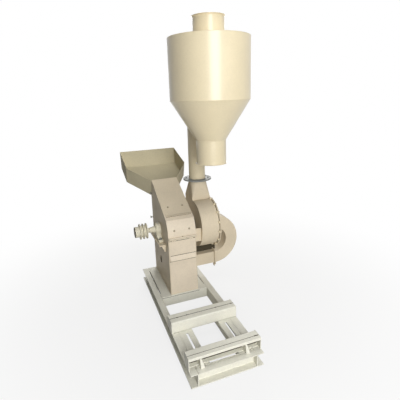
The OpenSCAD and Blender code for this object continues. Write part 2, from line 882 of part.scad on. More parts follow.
// Hood, the upper half of the mill body
// A point on the chute's line, at a distance above it, from the chute's top end
function throat_point(up) = [throat_y - up * sin(tray_deg), throat_z + up * cos(tray_deg)];
function chute_point(down, off) = [
    chute_top_y - down * cos(chute_deg) - off * sin(chute_deg),
    chute_top_z - down * sin(chute_deg) + off * cos(chute_deg)
];
chute_l = (chute_top_y - shaft_y - cover_r * cos(chute_fold)) / cos(chute_deg);
flap_end = chute_l - flap_lap;

module hood_profile(inset) {
    r = cover_r - inset;
    fold = 90 + chute_deg + acos((chute_dist - inset) / r);
    steps = 24;
    arc = [for (i = [0:steps]) let (a = 180 - asin(play / r) + (fold - 180 + asin(play / r)) * i / steps)
        [shaft_y + r * cos(a), shaft_z + r * sin(a)]];
    polygon(concat(arc, [
        throat_point(throat_h - inset / cos(chute_deg - tray_deg)),
        throat_point(0),
        [mill_y1, throat_z],
        [mill_y1, hood_z]
    ]));
}

// Puts a shape drawn along the tray (X), up from its floor (Y) into the YZ plane
module tray_plane() {
    translate([throat_y, throat_z]) rotate(tray_deg) children();
}

module hood_side(x) {
    side_plate(x, wall) difference() {
        hood_profile(cover_t);
        translate([shaft_y, shaft_z]) circle(shaft_hole_r);
        children();
    }
}

gate_u = -10;
gate_n = 4;
gate_h = throat_h - cover_t - gate_n - 6;

module hood_left() {
    color(cream_dark) hood_side(mill_x0) tray_plane()
        translate([gate_u - play, gate_n - play]) square([gate_t + 2 * play, gate_h + 2 * play]);
}

module hood_right() {
    guide = 4;
    color(cream_dark) {
        hood_side(in_x1);
        side_plate(in_x1 - 14, 14) tray_plane() for (u = [gate_u - play - guide, gate_u + gate_t + play])
            translate([u, gate_n]) square([guide, gate_h]);
    }
}

module hood_back() {
    color(cream_dark) {
        translate([in_x0, mill_y1 - wall, hood_z]) cube([in_x1 - in_x0, wall, throat_z - hood_z]);
        for (s = [-1, 1]) side_plate(mill_off + s * (lug_x - lug_t - 2) - lug_t / 2, lug_t)
            lug_profile(hood_z + 4, hinge_z + hinge_r + 9);
    }
}

module hood_front_cover() {
    color(cream) {
        side_plate(mill_x0, mill_w) polygon([
            chute_point(chute_l + 1, 0), chute_point(chute_l + 1, -cover_t),
            chute_point(flap_end + play, -cover_t), chute_point(flap_end + play, 0)
        ]);
        side_plate(mill_x0, mill_w) intersection() {
            difference() {
                translate([shaft_y, shaft_z]) circle(cover_r);
                translate([shaft_y, shaft_z]) circle(cover_r - cover_t);
                translate([shaft_y, hood_z - cover_r]) square([cover_r + cut, 3 * cover_r]);
            }
            polygon([
                [shaft_y, hood_z], chute_point(chute_l, 0), chute_point(chute_l + 60, 0),
                [shaft_y - cover_r - 60, chute_point(chute_l + 60, 0)[1]], [shaft_y - cover_r - 60, hood_z]
            ]);
        }
        difference() {
            translate([mill_x0, flange_y0, hood_z]) cube([mill_w, flange_d + cover_t, flange_t]);
            translate([mill_off, seam_bolt_y, hood_z - cut])
                cylinder(h = flange_t + 2 * cut, r = seam_bolt_r + bolt_gap);
        }
    }
}

// The chute cover ends in a flap whose turned-up lip laps over the front cover
module chute_cover() {
    lip = 26;
    color(cream) {
        side_plate(mill_x0, mill_w) polygon([
            chute_point(0, 0), chute_point(0, -cover_t), chute_point(flap_end, -cover_t), chute_point(flap_end, 0)
        ]);
        side_plate(mill_x0 + flap_in, mill_w - 2 * flap_in) polygon([
            chute_point(flap_end - 30, 0), chute_point(flap_end, play), chute_point(flap_end + 8, 1),
            chute_point(flap_end + 8 + lip, flap_up), chute_point(flap_end + 6 + lip, flap_up + cover_t),
            chute_point(flap_end + 4, 1 + cover_t), chute_point(flap_end - 30, cover_t)
        ]);
    }
}

module hood_bolts() {
    bolt_x = mill_w / 2 - hood_bolt_in;
    front_deg = chute_fold + 0.572 * (180 - chute_fold);
    chute_at = chute_point(flap_end - flap_lap - 28, 0);
    color(bare_steel) {
        translate([mill_off, seam_bolt_y, hood_z]) {
            translate([0, 0, flange_t]) hex_head(7.5, 6);
            translate([0, 0, -flange_t - play]) cylinder(h = 2 * flange_t + play, r = seam_bolt_r);
        }
        for (s = [-1, 1]) {
            at_shaft() rotate([front_deg - 180, 0, 0]) translate([mill_off + s * bolt_x, -cover_r, 0])
                rotate([90, 0, 0]) hex_head(9, 6);
            translate([mill_off + s * bolt_x, chute_at[0], chute_at[1]])
                rotate([chute_deg, 0, 0]) hex_head(9, 6);
        }
    }
}

module hinge_pin() {
    color(bare_steel) translate([mill_off, hinge_y, hinge_z]) {
        bar_x(-mill_w / 2 - 14, mill_w / 2, hinge_r);
        bar_x(-mill_w / 2 - 22, -mill_w / 2 - 12, hinge_r + 6);
    }
}

// Hopper: floor outline, wide at the back and as wide as the mill at the throat
module tray_plan(w_throat, w, l, taper) {
    polygon([[-w_throat / 2, 0], [w_throat / 2, 0], [w / 2, taper], [w / 2, l], [-w / 2, l], [-w / 2, taper]]);
}

module tray_solid(inset, top) {
    hull() {
        linear_extrude(0.1) tray_plan(mill_w - 2 * inset, tray_w - 2 * inset, tray_l - inset, tray_taper);
        translate([0, 0, top]) linear_extrude(0.1)
            tray_plan(mill_w - 2 * inset, tray_w - 2 * inset, tray_l + tray_lean - inset, tray_taper);
    }
}

module hopper() {
    color(cream) translate([mill_off, throat_y, throat_z]) rotate([tray_deg, 0, 0]) difference() {
        tray_solid(0, tray_d);
        translate([0, -0.2, tray_t]) scale([1, 1, 1]) tray_solid(tray_t, tray_d);
        translate([-mill_w / 2 + tray_t, -cut, tray_t]) cube([mill_w - 2 * tray_t, 2 * cut, tray_d]);
    }
}

module feed_gate() {
    color(bare_steel) {
        side_plate(in_x0 + play, in_x1 - in_x0 - 2 * play - 1) tray_plane()
            translate([gate_u, gate_n]) square([gate_t, gate_h]);
        side_plate(mill_x0 - 14, wall + 14 + 2 * play) tray_plane()
            translate([gate_u, gate_n + 14]) square([gate_t, 26]);
    }
}

// Fan: a spiral that starts at the top and grows round the front and the bottom
function scroll_at(a) = scroll_r + scroll_grow * (a - 90) / 270;

module scroll_outline(inset) {
    steps = 60;
    start = 80;
    union() {
        polygon([for (i = [0:steps]) let (a = start + (360 - start) * i / steps, r = scroll_at(a) - inset)
            [shaft_y + r * cos(a), shaft_z + r * sin(a)]]);
        translate([neck_y0 + inset, shaft_z]) square([neck_y1 - neck_y0 - 2 * inset, neck_up]);
    }
}

module ring_outline() {
    steps = 60;
    polygon([for (i = [0:steps]) let (a = 84 + (372 - 84) * i / steps, r = scroll_at(min(a, 360)) + ring_w)
        [shaft_y + r * cos(a), shaft_z + r * sin(a)]]);
}

module at_ring_bolts() {
    for (i = [0:ring_bolts - 1]) {
        a = 96 + (352 - 96) * i / (ring_bolts - 1);
        r = scroll_at(a) + ring_w / 2;
        translate([0, shaft_y + r * cos(a), shaft_z + r * sin(a)]) children();
    }
}

module fan_casing() {
    ring_t = 6;
    color(cream) {
        side_plate(fan_x0, fan_t) difference() {
            scroll_outline(0);
            translate([shaft_y, shaft_z]) circle(shaft_r + 4);
        }
        difference() {
            union() {
                side_plate(fan_x0 + fan_t, fan_w - fan_t) scroll_outline(0);
                side_plate(fan_x1 - ring_t, ring_t) ring_outline();
            }
            side_plate(fan_x0 + fan_t, fan_w) scroll_outline(fan_t);
            translate([fan_x0 + fan_t, neck_y0 + fan_t, neck_z - cut])
                cube([fan_w - 2 * fan_t, neck_y1 - neck_y0 - 2 * fan_t, 2 * cut]);
            at_ring_bolts() bar_x(fan_x1 - ring_t - cut, fan_x1 + cut, 4 + bolt_gap);
        }
    }
}

module fan_cover() {
    color(cream) difference() {
        side_plate(fan_x1, fan_t) {
            ring_outline();
            scroll_outline(0);
        }
        at_shaft() bar_x(fan_x1 - cut, fan_x1 + fan_t + cut, eye_r);
        at_ring_bolts() bar_x(fan_x1 - cut, fan_x1 + fan_t + cut, 4 + bolt_gap);
    }
}

module casing_bolts() {
    color(bare_steel) {
        at_ring_bolts() {
            bar_x(fan_x1 - 6 - 1, fan_x1 + fan_t, 4);
            translate([fan_x1 + fan_t, 0, 0]) rotate([0, 90, 0]) hex_head(8, 6);
            translate([fan_x1 - 6 - 6, 0, 0]) rotate([0, 90, 0]) hex_head(8, 6);
        }
        for (x = [block_x_left, block_x_right], s = [-1, 1])
            translate([x + block_w / 2, shaft_y + s * block_bolt_at, shelf_z]) {
                translate([0, 0, -shelf_t - 10]) cylinder(h = shelf_t + block_foot + 10, r = block_bolt_r);
                translate([0, 0, block_foot]) hex_head(14, 10);
                translate([0, 0, -shelf_t - 10]) hex_head(14, 10);
            }
        at_pipe_bolts() {
            translate([0, 0, -pipe_flange_t - 1]) cylinder(h = 2 * pipe_flange_t + 2, r = 5);
            translate([0, 0, pipe_flange_t]) hex_head(9, 7);
            translate([0, 0, -pipe_flange_t - 7]) hex_head(9, 7);
        }
    }
}

module fan_transition() {
    top = pipe_joint_z - pipe_flange_t;
    color(cream) difference() {
        hull() {
            translate([fan_x0, neck_y0, neck_z]) cube([fan_w + fan_t, neck_y1 - neck_y0, 1]);
            translate([pipe_x, pipe_y, top - 1]) cylinder(h = 1, r = pipe_r);
        }
        hull() {
            translate([fan_x0 + fan_t, neck_y0 + fan_t, neck_z - 0.1])
                cube([fan_w - fan_t, neck_y1 - neck_y0 - 2 * fan_t, 1]);
            translate([pipe_x, pipe_y, top - 0.9]) cylinder(h = 1, r = pipe_r - sheet_t);
        }
    }
}

module at_pipe_bolts() {
    for (i = [0:7]) translate([pipe_x, pipe_y, pipe_joint_z]) rotate([0, 0, 22.5 + 45 * i])
        translate([(pipe_r + pipe_flange_r) / 2, 0, 0]) children();
}

module pipe_flanges() {
    color(frame_grey) for (z = [pipe_joint_z - pipe_flange_t, pipe_joint_z]) difference() {
        translate([pipe_x, pipe_y, z]) cylinder(h = pipe_flange_t, r = pipe_flange_r);
        translate([pipe_x, pipe_y, z - cut])
            cylinder(h = pipe_flange_t + 2 * cut, r = pipe_r - sheet_t);
        at_pipe_bolts() translate([0, 0, -pipe_flange_t - cut])
            cylinder(h = 2 * pipe_flange_t + 2 * cut, r = 5 + bolt_gap);
    }
}

// Suction duct from the stand to the fan's eye
module duct_section(grow) {
    square([duct_h + 2 * grow, duct_d + 2 * grow], center = true);
}

module duct_x(x, l, grow, inner) {
    translate([x, shaft_y, duct_z]) rotate([0, 90, 0]) linear_extrude(l) difference() {
        duct_section(grow);
        duct_section(-sheet_t);
    }
}

module suction_duct() {
    foot = 26;
    color(cream) {
        duct_x(mill_x1, eye_x - mill_x1, 0);
        duct_x(eye_x - 6, 6, joint_m);
        translate([eye_x - 6, shaft_y - duct_d / 2, duct_z - duct_h / 2 - joint_m - foot])
            cube([6, 34, foot]);
    }
}

module suction_bend() {
    color(cream) {
        translate([eye_x, shaft_y, bend_z]) rotate([90, 0, 0]) rotate([0, 0, -90])
            rotate_extrude(angle = 180) translate([bend_r, 0]) difference() {
                duct_section(0);
                duct_section(-sheet_t);
            }
        duct_x(eye_x, 6, joint_m);
    }
}

// Riser pipe and elbow
module riser_pipe() {
    z0 = pipe_joint_z + pipe_flange_t;
    color(cream) translate([pipe_x, pipe_y, z0]) tube(inlet_z - elbow_r - z0, pipe_r, sheet_t);
}

// The elbow's frame: the pipe's axis is the origin and the inlet runs along +X
module at_elbow(z) {
    translate([pipe_x, pipe_y, z]) rotate([0, 0, inlet_deg]) children();
}

// Sweeps a section through the quarter turn from the riser to the inlet
module elbow_sweep() {
    at_elbow(inlet_z - elbow_r) translate([elbow_r, 0, 0]) rotate([90, 0, 0]) rotate([0, 0, 90])
        rotate_extrude(angle = 90) translate([elbow_r, 0]) children();
}

module riser_elbow() {
    color(cream) difference() {
        elbow_sweep() difference() {
            circle(pipe_r);
            circle(pipe_r - sheet_t);
        }
        translate([cyc_x, cyc_y, barrel_z]) cylinder(h = barrel_h, r = barrel_r);
    }
}

// Cyclone
// Turned-out end of a tube of outer radius r: it starts at height 0 and ends at the top
module flared_rim(r) {
    rotate_extrude() translate([r + flare, 0]) intersection() {
        difference() {
            circle(flare + sheet_t, $fn = 48);
            circle(flare, $fn = 48);
        }
        translate([-flare - sheet_t, 0]) square(flare + sheet_t);
    }
}

module cyclone_barrel() {
    shell_h = barrel_h - sheet_t;
    color(cream) difference() {
        union() {
            translate([cyc_x, cyc_y, barrel_z]) cylinder(h = shell_h, r = barrel_r);
            at_elbow(inlet_z) bar_x(elbow_r, inlet_along, pipe_r);
        }
        translate([cyc_x, cyc_y, barrel_z - cut]) cylinder(h = shell_h + 2 * cut, r = barrel_r - sheet_t);
        at_elbow(inlet_z) {
            bar_x(elbow_r - cut, inlet_along, pipe_r - sheet_t);
            bar_x(elbow_r * 0.6, elbow_r, pipe_r - sheet_t - 8);
        }
    }
}

module cyclone_cone() {
    rim_z = collar_z + flare + sheet_t;
    color(cream) translate([cyc_x, cyc_y, 0]) {
        rotate_extrude() polygon([
            [barrel_r - sheet_t, barrel_z], [barrel_r, barrel_z], [collar_r, cone_z], [collar_r, rim_z],
            [collar_r - sheet_t, rim_z], [collar_r - sheet_t, cone_z]
        ]);
        translate([0, 0, rim_z]) mirror([0, 0, 1]) flared_rim(collar_r);
    }
}

// The roof plate carries the air outlet tube, which reaches down into the barrel
module cyclone_outlet() {
    rim_z = barrel_top + outlet_up - flare - sheet_t;
    z0 = barrel_top - outlet_down;
    color(cream) translate([cyc_x, cyc_y, 0]) {
        difference() {
            union() {
                translate([0, 0, z0]) cylinder(h = rim_z - z0, r = outlet_r);
                translate([0, 0, barrel_top - sheet_t]) cylinder(h = sheet_t, r = barrel_r);
            }
            translate([0, 0, z0 - cut]) cylinder(h = rim_z - z0 + 2 * cut, r = outlet_r - sheet_t);
        }
        translate([0, 0, rim_z]) flared_rim(outlet_r);
    }
}

rail_left();
rail_right();
front_channel();
rear_channel();
cross_channels();
base_plate();
motor_rail_left();
motor_rail_right();
rear_beam_front();
rear_beam_back();
front_beam();
front_beam_lip();
beam_gussets();
stand_left();
stand_right();
stand_back();
stand_front();
stand_flange();
screen_door();
door_pin();
screen();
screen_rails();
bearing_shelf_left();
bearing_shelf_right();
pillow_block_left();
pillow_block_right();
bearing_inserts();
bearing_cap();
casing_bolts();
rotor_shaft();
drive_pulley();
rotor_discs();
hammer_pins();
hammer_spacers();
hammers_1();
hammers_2();
hammers_3();
hammers_4();
impeller();
shaft_nut();
hood_left();
hood_right();
hood_back();
hood_front_cover();
chute_cover();
hood_bolts();
hinge_pin();
hopper();
feed_gate();
fan_casing();
fan_cover();
fan_transition();
suction_duct();
suction_bend();
pipe_flanges();
riser_pipe();
riser_elbow();
cyclone_barrel();
cyclone_cone();
cyclone_outlet();
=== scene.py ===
# %% [markdown]
# # A flour mill, dressed in Blender
#
# The mill is a welded machine: a low steel frame, a narrow mill body with a feed hopper on top, a fan
# beside it and a tall cyclone. A finished CAD model holds those shapes, and this script never changes
# them. It adds what the CAD model lacks: materials, weld beads, finer bolts, dark seams and other
# painted shade, a few small plates, a floor and light.

# %% Load the CAD model
import math

import bmesh
import bpy
from mathutils import Matrix, Vector


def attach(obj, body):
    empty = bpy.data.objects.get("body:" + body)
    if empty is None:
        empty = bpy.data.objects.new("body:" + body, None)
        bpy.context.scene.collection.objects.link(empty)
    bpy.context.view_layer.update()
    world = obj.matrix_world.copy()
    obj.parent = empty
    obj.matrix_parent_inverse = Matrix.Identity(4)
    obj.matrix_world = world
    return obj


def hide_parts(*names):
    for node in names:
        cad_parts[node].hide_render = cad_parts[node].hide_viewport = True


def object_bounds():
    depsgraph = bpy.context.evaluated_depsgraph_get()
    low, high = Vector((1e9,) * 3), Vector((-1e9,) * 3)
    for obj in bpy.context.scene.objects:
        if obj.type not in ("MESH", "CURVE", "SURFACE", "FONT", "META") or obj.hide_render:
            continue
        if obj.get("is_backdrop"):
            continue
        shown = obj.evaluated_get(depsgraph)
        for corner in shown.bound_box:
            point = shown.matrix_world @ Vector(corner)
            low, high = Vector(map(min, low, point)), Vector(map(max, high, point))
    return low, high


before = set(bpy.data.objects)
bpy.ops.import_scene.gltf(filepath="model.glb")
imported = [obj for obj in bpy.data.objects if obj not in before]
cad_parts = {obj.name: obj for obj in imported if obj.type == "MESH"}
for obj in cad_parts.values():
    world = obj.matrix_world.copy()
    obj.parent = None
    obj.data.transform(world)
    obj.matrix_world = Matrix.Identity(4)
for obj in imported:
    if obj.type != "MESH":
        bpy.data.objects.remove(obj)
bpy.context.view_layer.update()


def box_list():
    """The bounding box as plain lists."""
    low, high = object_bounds()
    return [[float(v) for v in low], [float(v) for v in high]]


MM = 0.001

# %% [markdown]
# ## The camera
#
# The camera stands where the photograph was taken from: to the left, above eye level, looking
# down a little. A constraint could aim it, but its small roll would be hard to set. So its
# three axes are built as vectors from two angles and the roll, and put into a matrix. Shift
# moves the picture without turning the camera.

# %% Camera
CAMERA_AT = Vector((-895.3, -1936.8, 2059.7)) * MM
YAW, PITCH, ROLL = (math.radians(a) for a in (20.47, -14.49, -1.83))
SENSOR_MM, LENS_MM, SHIFT_Y = 36, 30.5, -0.045

forward = Vector((math.sin(YAW) * math.cos(PITCH), math.cos(YAW) * math.cos(PITCH),
                  math.sin(PITCH)))
level = Vector((math.cos(YAW), -math.sin(YAW), 0))
upright = level.cross(forward)
right = math.cos(ROLL) * level + math.sin(ROLL) * upright
up = math.cos(ROLL) * upright - math.sin(ROLL) * level

scene = bpy.context.scene
camera_data = bpy.data.cameras.new("camera")
camera_data.sensor_width = SENSOR_MM
camera_data.lens = LENS_MM
camera_data.shift_y = SHIFT_Y
camera = bpy.data.objects.new("camera", camera_data)
scene.collection.objects.link(camera)
axes = Matrix((right, up, -forward)).transposed()
camera.matrix_world = Matrix.Translation(CAMERA_AT) @ axes.to_4x4()
scene.camera = camera
print("camera looks along", tuple(round(v, 3) for v in forward))

# %% [markdown]
# ## Colours
#
# Colours are picked as sRGB hex codes, the way paint programs show them, but shaders need
# linear values. One function turns a code into these, and can make it darker or lighter.

# %% Colour helpers


def linear(code, k=1.0):
    """A hex colour such as d9ccaa, as linear RGBA; k makes it darker or lighter."""
    out = []
    for i in (0, 2, 4):
        c = int(code[i:i + 2], 16) / 255
        c = c / 12.92 if c <= 0.04045 else ((c + 0.055) / 1.055) ** 2.4
        out.append(min(c * k, 1.0))
    return (*out, 1.0)


def grey(v):
    """A plain factor as a colour, to multiply another colour with."""
    return (v, v, v, 1)


print("the cyclone's cream in linear values:", [round(v, 3) for v in linear("dccfaf")])

# %% [markdown]
# ## Nodes
#
# A material is a small tree of nodes, and each node is added in the same few steps. So one
# function makes the node, sets its properties, places the stops of a colour ramp, and gives
# each input a value or a link.

# %% Node helpers
MIX_A, MIX_B, MIX_OUT = 6, 7, 2  # a Mix node's sockets for its two colours and their mixture


def set_inputs(owner, n, inputs):
    """Gives inputs a value, or a link where the value is an output of another node."""
    for key, value in inputs.items():
        if isinstance(value, bpy.types.NodeSocket):
            owner.node_tree.links.new(value, n.inputs[key])
        else:
            n.inputs[key].default_value = value


def node(owner, kind, inputs=None, stops=(), **props):
    """Adds a node to a material or world; stops are the (place, colour) pairs of a ramp."""
    n = owner.node_tree.nodes.new(kind)
    for key, value in props.items():
        setattr(n, key, value)
    if stops:
        for element, (at, colour) in zip(n.color_ramp.elements, stops):
            element.position, element.color = at, colour
    set_inputs(owner, n, inputs or {})
    return n


def new_material(name):
    mat = bpy.data.materials.new(name)
    mat.use_nodes = True
    return mat, mat.node_tree.nodes["Principled BSDF"]


print("a Mix node keeps its colours in sockets", MIX_A, "and", MIX_B)

# %% [markdown]
# Paint, dust and scale all vary in soft blotches. Noise makes them. It is placed by the
# object's own coordinates, which are in metres, so a blotch has a real size in millimetres.

# %% Blotches at a real size


def blotches(owner, size_mm, detail=3.0, stretch=(1, 1, 1)):
    """Noise whose blobs are about size_mm across; stretch makes them finer along an axis."""
    place = node(owner, "ShaderNodeTexCoord").outputs["Object"]
    scaled = node(owner, "ShaderNodeMapping", {"Vector": place, "Scale": stretch})
    return node(owner, "ShaderNodeTexNoise", {
        "Vector": scaled.outputs["Vector"], "Scale": 1000 / size_mm,
        "Detail": detail}).outputs["Fac"]


print("blobs of 260 mm come", round(1000 / 260, 1), "to the metre")

# %% [markdown]
# ## Paint
#
# The sheet and the frame are steel with enamel sprayed over it. Sprayed enamel is never one
# flat colour: an uneven coat leaves large soft patches, and dust leaves small specks. Its
# skin, called orange peel, is a fine bump that shows in the reflections. Hands wipe some
# areas smoother. Along edges, where hands and tools touch, it wears thin.
#
# The worn edges could be painted by hand. Here a Bevel node gives a rounded normal near each
# edge, and where that differs from the flat normal the darker colour shows. The roughness
# starts from 0.45, which is usual for such enamel. Its reflection is set weaker than usual,
# because the photograph shows a dull, old coat, and a clear coat brings some shine back where
# the real paint is glossier.

# %% Enamel
COAT_MM, DUST_MM, WIPED_MM = 260, 14, 90
PEEL_MM = 3.5     # real orange peel is nearer 1 or 2 mm, which would be too fine to show
EDGE_MM = 2.2
WORN_SHADE = 0.72


def enamel(name, code, rough=0.45, patch=0.05, dirt=0.05, wear=0.25, peel_depth=0.03,
           clear=0.0, shine=0.15):
    """Sprayed enamel; peel_depth is in mm, the rest are shares from 0 to 1."""
    mat, shader = new_material(name)
    coat = node(mat, "ShaderNodeValToRGB", {"Fac": blotches(mat, COAT_MM, 4)},
                [(0.3, linear(code, 1 - patch)), (0.7, linear(code, 1 + patch))])
    specks = node(mat, "ShaderNodeValToRGB", {"Fac": blotches(mat, DUST_MM, 6)},
                  [(0.35, grey(1 - dirt)), (0.6, grey(1))])
    dusty = node(mat, "ShaderNodeMix", {
        0: 1.0, MIX_A: coat.outputs["Color"], MIX_B: specks.outputs["Color"]},
        data_type="RGBA", blend_type="MULTIPLY")
    rounded = node(mat, "ShaderNodeBevel", {"Radius": EDGE_MM * MM}, samples=4).outputs["Normal"]
    flat = node(mat, "ShaderNodeNewGeometry").outputs["Normal"]
    alike = node(mat, "ShaderNodeVectorMath", {0: rounded, 1: flat}, operation="DOT_PRODUCT")
    edge = node(mat, "ShaderNodeMapRange", {
        "Value": alike.outputs["Value"], "From Min": 0.97, "From Max": 0.75,
        "To Min": 0.0, "To Max": wear})
    worn = node(mat, "ShaderNodeMix", {
        0: edge.outputs["Result"], MIX_A: dusty.outputs[MIX_OUT],
        MIX_B: linear(code, WORN_SHADE)}, data_type="RGBA")
    wiped = node(mat, "ShaderNodeMapRange", {
        "Value": blotches(mat, WIPED_MM, 4), "To Min": rough - 0.06, "To Max": rough + 0.1})
    peel = node(mat, "ShaderNodeBump", {
        "Strength": 0.35, "Distance": peel_depth * MM, "Height": blotches(mat, PEEL_MM, 2),
        "Normal": rounded})
    set_inputs(mat, shader, {
        "Base Color": worn.outputs[MIX_OUT], "Roughness": wiped.outputs["Result"],
        "Normal": peel.outputs["Normal"], "Specular IOR Level": shine,
        "Coat Weight": clear, "Coat Roughness": 0.28})
    return mat


print("worn edges reach", EDGE_MM, "mm in")

# %% [markdown]
# One enamel looks different on each part. The cyclone is the cleanest and glossiest, which
# gives it one broad highlight. The door and the front covers are a little glossy, the rest of
# the body is dull, and the hopper, which flour rubs, is the most matt. The frame has a paler,
# greyer coat that is worn more along its edges. The bearing housings are cast in sand, so the
# grain of the sand shows through the paint as a deeper bump.
#
# Three more finishes have a dull, broken surface, so the same function suits them too. Old
# galvanising is grey and hardly reflects. The hood's bolts were painted over and then worn by the
# spanner. And the dark finish is painted shade: it darkens gaps, seams and the shaded web under the
# fan, and it has no shine.

# %% Painted and dull finishes
# the second colour is the dark used for painted shade, in gaps and on the pulley's end
CAST_CREAM, SHADE_DARK = "d3cdb8", "4b4538"
finish = {
    "cyclone": enamel("glossy_enamel", "dccfaf", patch=0.03, dirt=0.03, clear=0.8, shine=0.1),
    "body": enamel("dull_enamel", "d3c6ae", shine=0.06),
    "door": enamel("wiped_enamel", "d8cbb6", clear=0.3, shine=0.1),
    "hopper": enamel("flour_rubbed_enamel", "c4bb9f", rough=0.5, dirt=0.06, shine=0.02),
    "frame": enamel("worn_pale_enamel", "e0ded1", rough=0.5, dirt=0.06, wear=0.35),
    "cast": enamel("painted_cast_iron", CAST_CREAM, rough=0.5, peel_depth=0.25),
    "flange": enamel("old_galvanising", "858784", rough=0.55, patch=0.12, dirt=0.12, wear=0.5),
    "worn_bolt": enamel("worn_painted_bolt", "a0967f", rough=0.55, wear=0.5, shine=0.1),
    # painted shade: a dark finish that stands in for the shade in gaps, seams and under the fan
    "painted_shade": enamel("painted_shade_dark", SHADE_DARK, rough=0.8, wear=0.0, shine=0.05),
}
print("painted and dull finishes:", list(finish))

# %% [markdown]
# ## Metal
#
# The pins and the feed gate are zinc-plated steel, which has soft clouds. The shaft is bright
# steel bar. It is drawn through a die, so its grain runs along the bar: it is six times finer
# across, along Y and Z, than along X. The discs and hammers still have their dark mill scale.
#
# Metal has no colour of its own apart from its reflection, so Metallic is 1, the colour is
# that of the reflection and the IOR stays at its default. The grain varies the roughness. At
# about 1 mm it is near its real size, and is too fine to be seen as lines in the render. It
# is only there to break up the highlights.

# %% Metal finishes
OXIDE_MM, FINE_GRAIN_MM, ZINC_CLOUD_MM = 40, 1.2, 6
GRAIN_DEPTH = 0.03


def metal(name, code, rough, grain_mm=FINE_GRAIN_MM, stretch=(1, 1, 1)):
    """Bare or plated steel with patches of oxide and a grain."""
    mat, shader = new_material(name)
    tone = node(mat, "ShaderNodeValToRGB", {"Fac": blotches(mat, OXIDE_MM, 5)},
                [(0.3, linear(code, 0.8)), (0.7, linear(code, 1.05))])
    grain = blotches(mat, grain_mm, 3, stretch)
    gloss = node(mat, "ShaderNodeMapRange", {
        "Value": grain, "To Min": rough - 0.1, "To Max": rough + 0.15})
    skin = node(mat, "ShaderNodeBump", {
        "Strength": 0.4, "Distance": GRAIN_DEPTH * MM, "Height": grain})
    set_inputs(mat, shader, {
        "Base Color": tone.outputs["Color"], "Metallic": 1.0,
        "Roughness": gloss.outputs["Result"], "Normal": skin.outputs["Normal"]})
    return mat


finish["zinc"] = metal("zinc_plated_steel", "b9bbb6", rough=0.38, grain_mm=ZINC_CLOUD_MM)
finish["steel"] = metal("bright_drawn_steel", "8f8f90", rough=0.3, stretch=(1, 6, 6))
finish["dark"] = metal("mill_scale_steel", "5e5c58", rough=0.45)
print("finishes in all:", len(finish))

# %% [markdown]
# ## Dress the CAD model
#
# Each CAD node is one real piece of the mill. The list names the pieces that have a finish of
# their own, and all others get the dull enamel of the body. Only the material slots are
# filled, so the CAD meshes stay as they came.

# %% Finish of each CAD node
LOOK = {
    "cyclone": ["cyclone_barrel", "cyclone_cone", "cyclone_outlet", "riser_pipe", "riser_elbow"],
    "door": ["stand_front", "screen_door", "hood_front_cover"],
    "hopper": ["hopper"],
    "frame": ["rail_left", "rail_right", "front_channel", "rear_channel", "cross_channels",
              "base_plate", "motor_rail_left", "motor_rail_right", "rear_beam_front",
              "rear_beam_back", "front_beam", "front_beam_lip", "beam_gussets"],
    "cast": ["pillow_block_left", "pillow_block_right", "bearing_cap", "drive_pulley"],
    "flange": ["pipe_flanges"],
    "zinc": ["hinge_pin", "door_pin", "casing_bolts", "hood_bolts", "feed_gate"],
    "steel": ["bearing_inserts", "rotor_shaft", "shaft_nut", "screen"],
    "dark": ["rotor_discs", "hammer_pins", "hammer_spacers", "hammers_1", "hammers_2",
             "hammers_3", "hammers_4", "impeller", "screen_rails"],
}


def dress(obj, mat):
    """Gives a CAD node one material on all of its slots."""
    if not obj.material_slots:
        obj.data.materials.append(mat)
    for s in obj.material_slots:
        s.material = mat


look_of = {name: key for key, names in LOOK.items() for name in names}
for name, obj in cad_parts.items():
    dress(obj, finish[look_of.get(name, "body")])
print("dressed", len(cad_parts), "nodes,", len(look_of), "with a finish of their own")

# %% [markdown]
# The outer end face of the pulley is painted dark, and that dark stands in for the shade on the face,
# while its rims keep the cast colour. A thin disc could show that, but it would stand proud of the
# pulley. So the pulley has a material that looks at the own X of the piece: in the last few
# millimetres the dark colour of painted shade takes over.

# %% Pulley end with painted shade
SHADE_END_MM = 4.2
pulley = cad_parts["drive_pulley"]
pulley_end = min(v.co.x for v in pulley.data.vertices)
shaded_end = enamel("cast_iron_painted_shade_end", CAST_CREAM, rough=0.5, peel_depth=0.25)
place = node(shaded_end, "ShaderNodeTexCoord").outputs["Object"]
along = node(shaded_end, "ShaderNodeSeparateXYZ", {"Vector": place}).outputs["X"]
on_end = node(shaded_end, "ShaderNodeMath", {0: along, 1: pulley_end + SHADE_END_MM * MM},
              operation="LESS_THAN").outputs["Value"]
cast_shader = shaded_end.node_tree.nodes["Principled BSDF"]
clean = cast_shader.inputs["Base Color"].links[0].from_socket
# painted shade: the dark colour on the pulley's end face
end_shade_mix = node(shaded_end, "ShaderNodeMix", {0: on_end, MIX_A: clean, MIX_B: linear(SHADE_DARK)},
               data_type="RGBA")
set_inputs(shaded_end, cast_shader, {"Base Color": end_shade_mix.outputs[MIX_OUT]})
dress(pulley, shaded_end)
print("pulley end at x", round(pulley_end / MM, 1), "mm")

# %% [markdown]
# ## Sizes that the details share
#
# Beads, washers and bolts have to sit on the CAD faces, so their places come from the same
# few sizes. They are in millimetres and turned into metres only when a mesh is made. X runs
# to the right, Y away from the viewer and Z up.

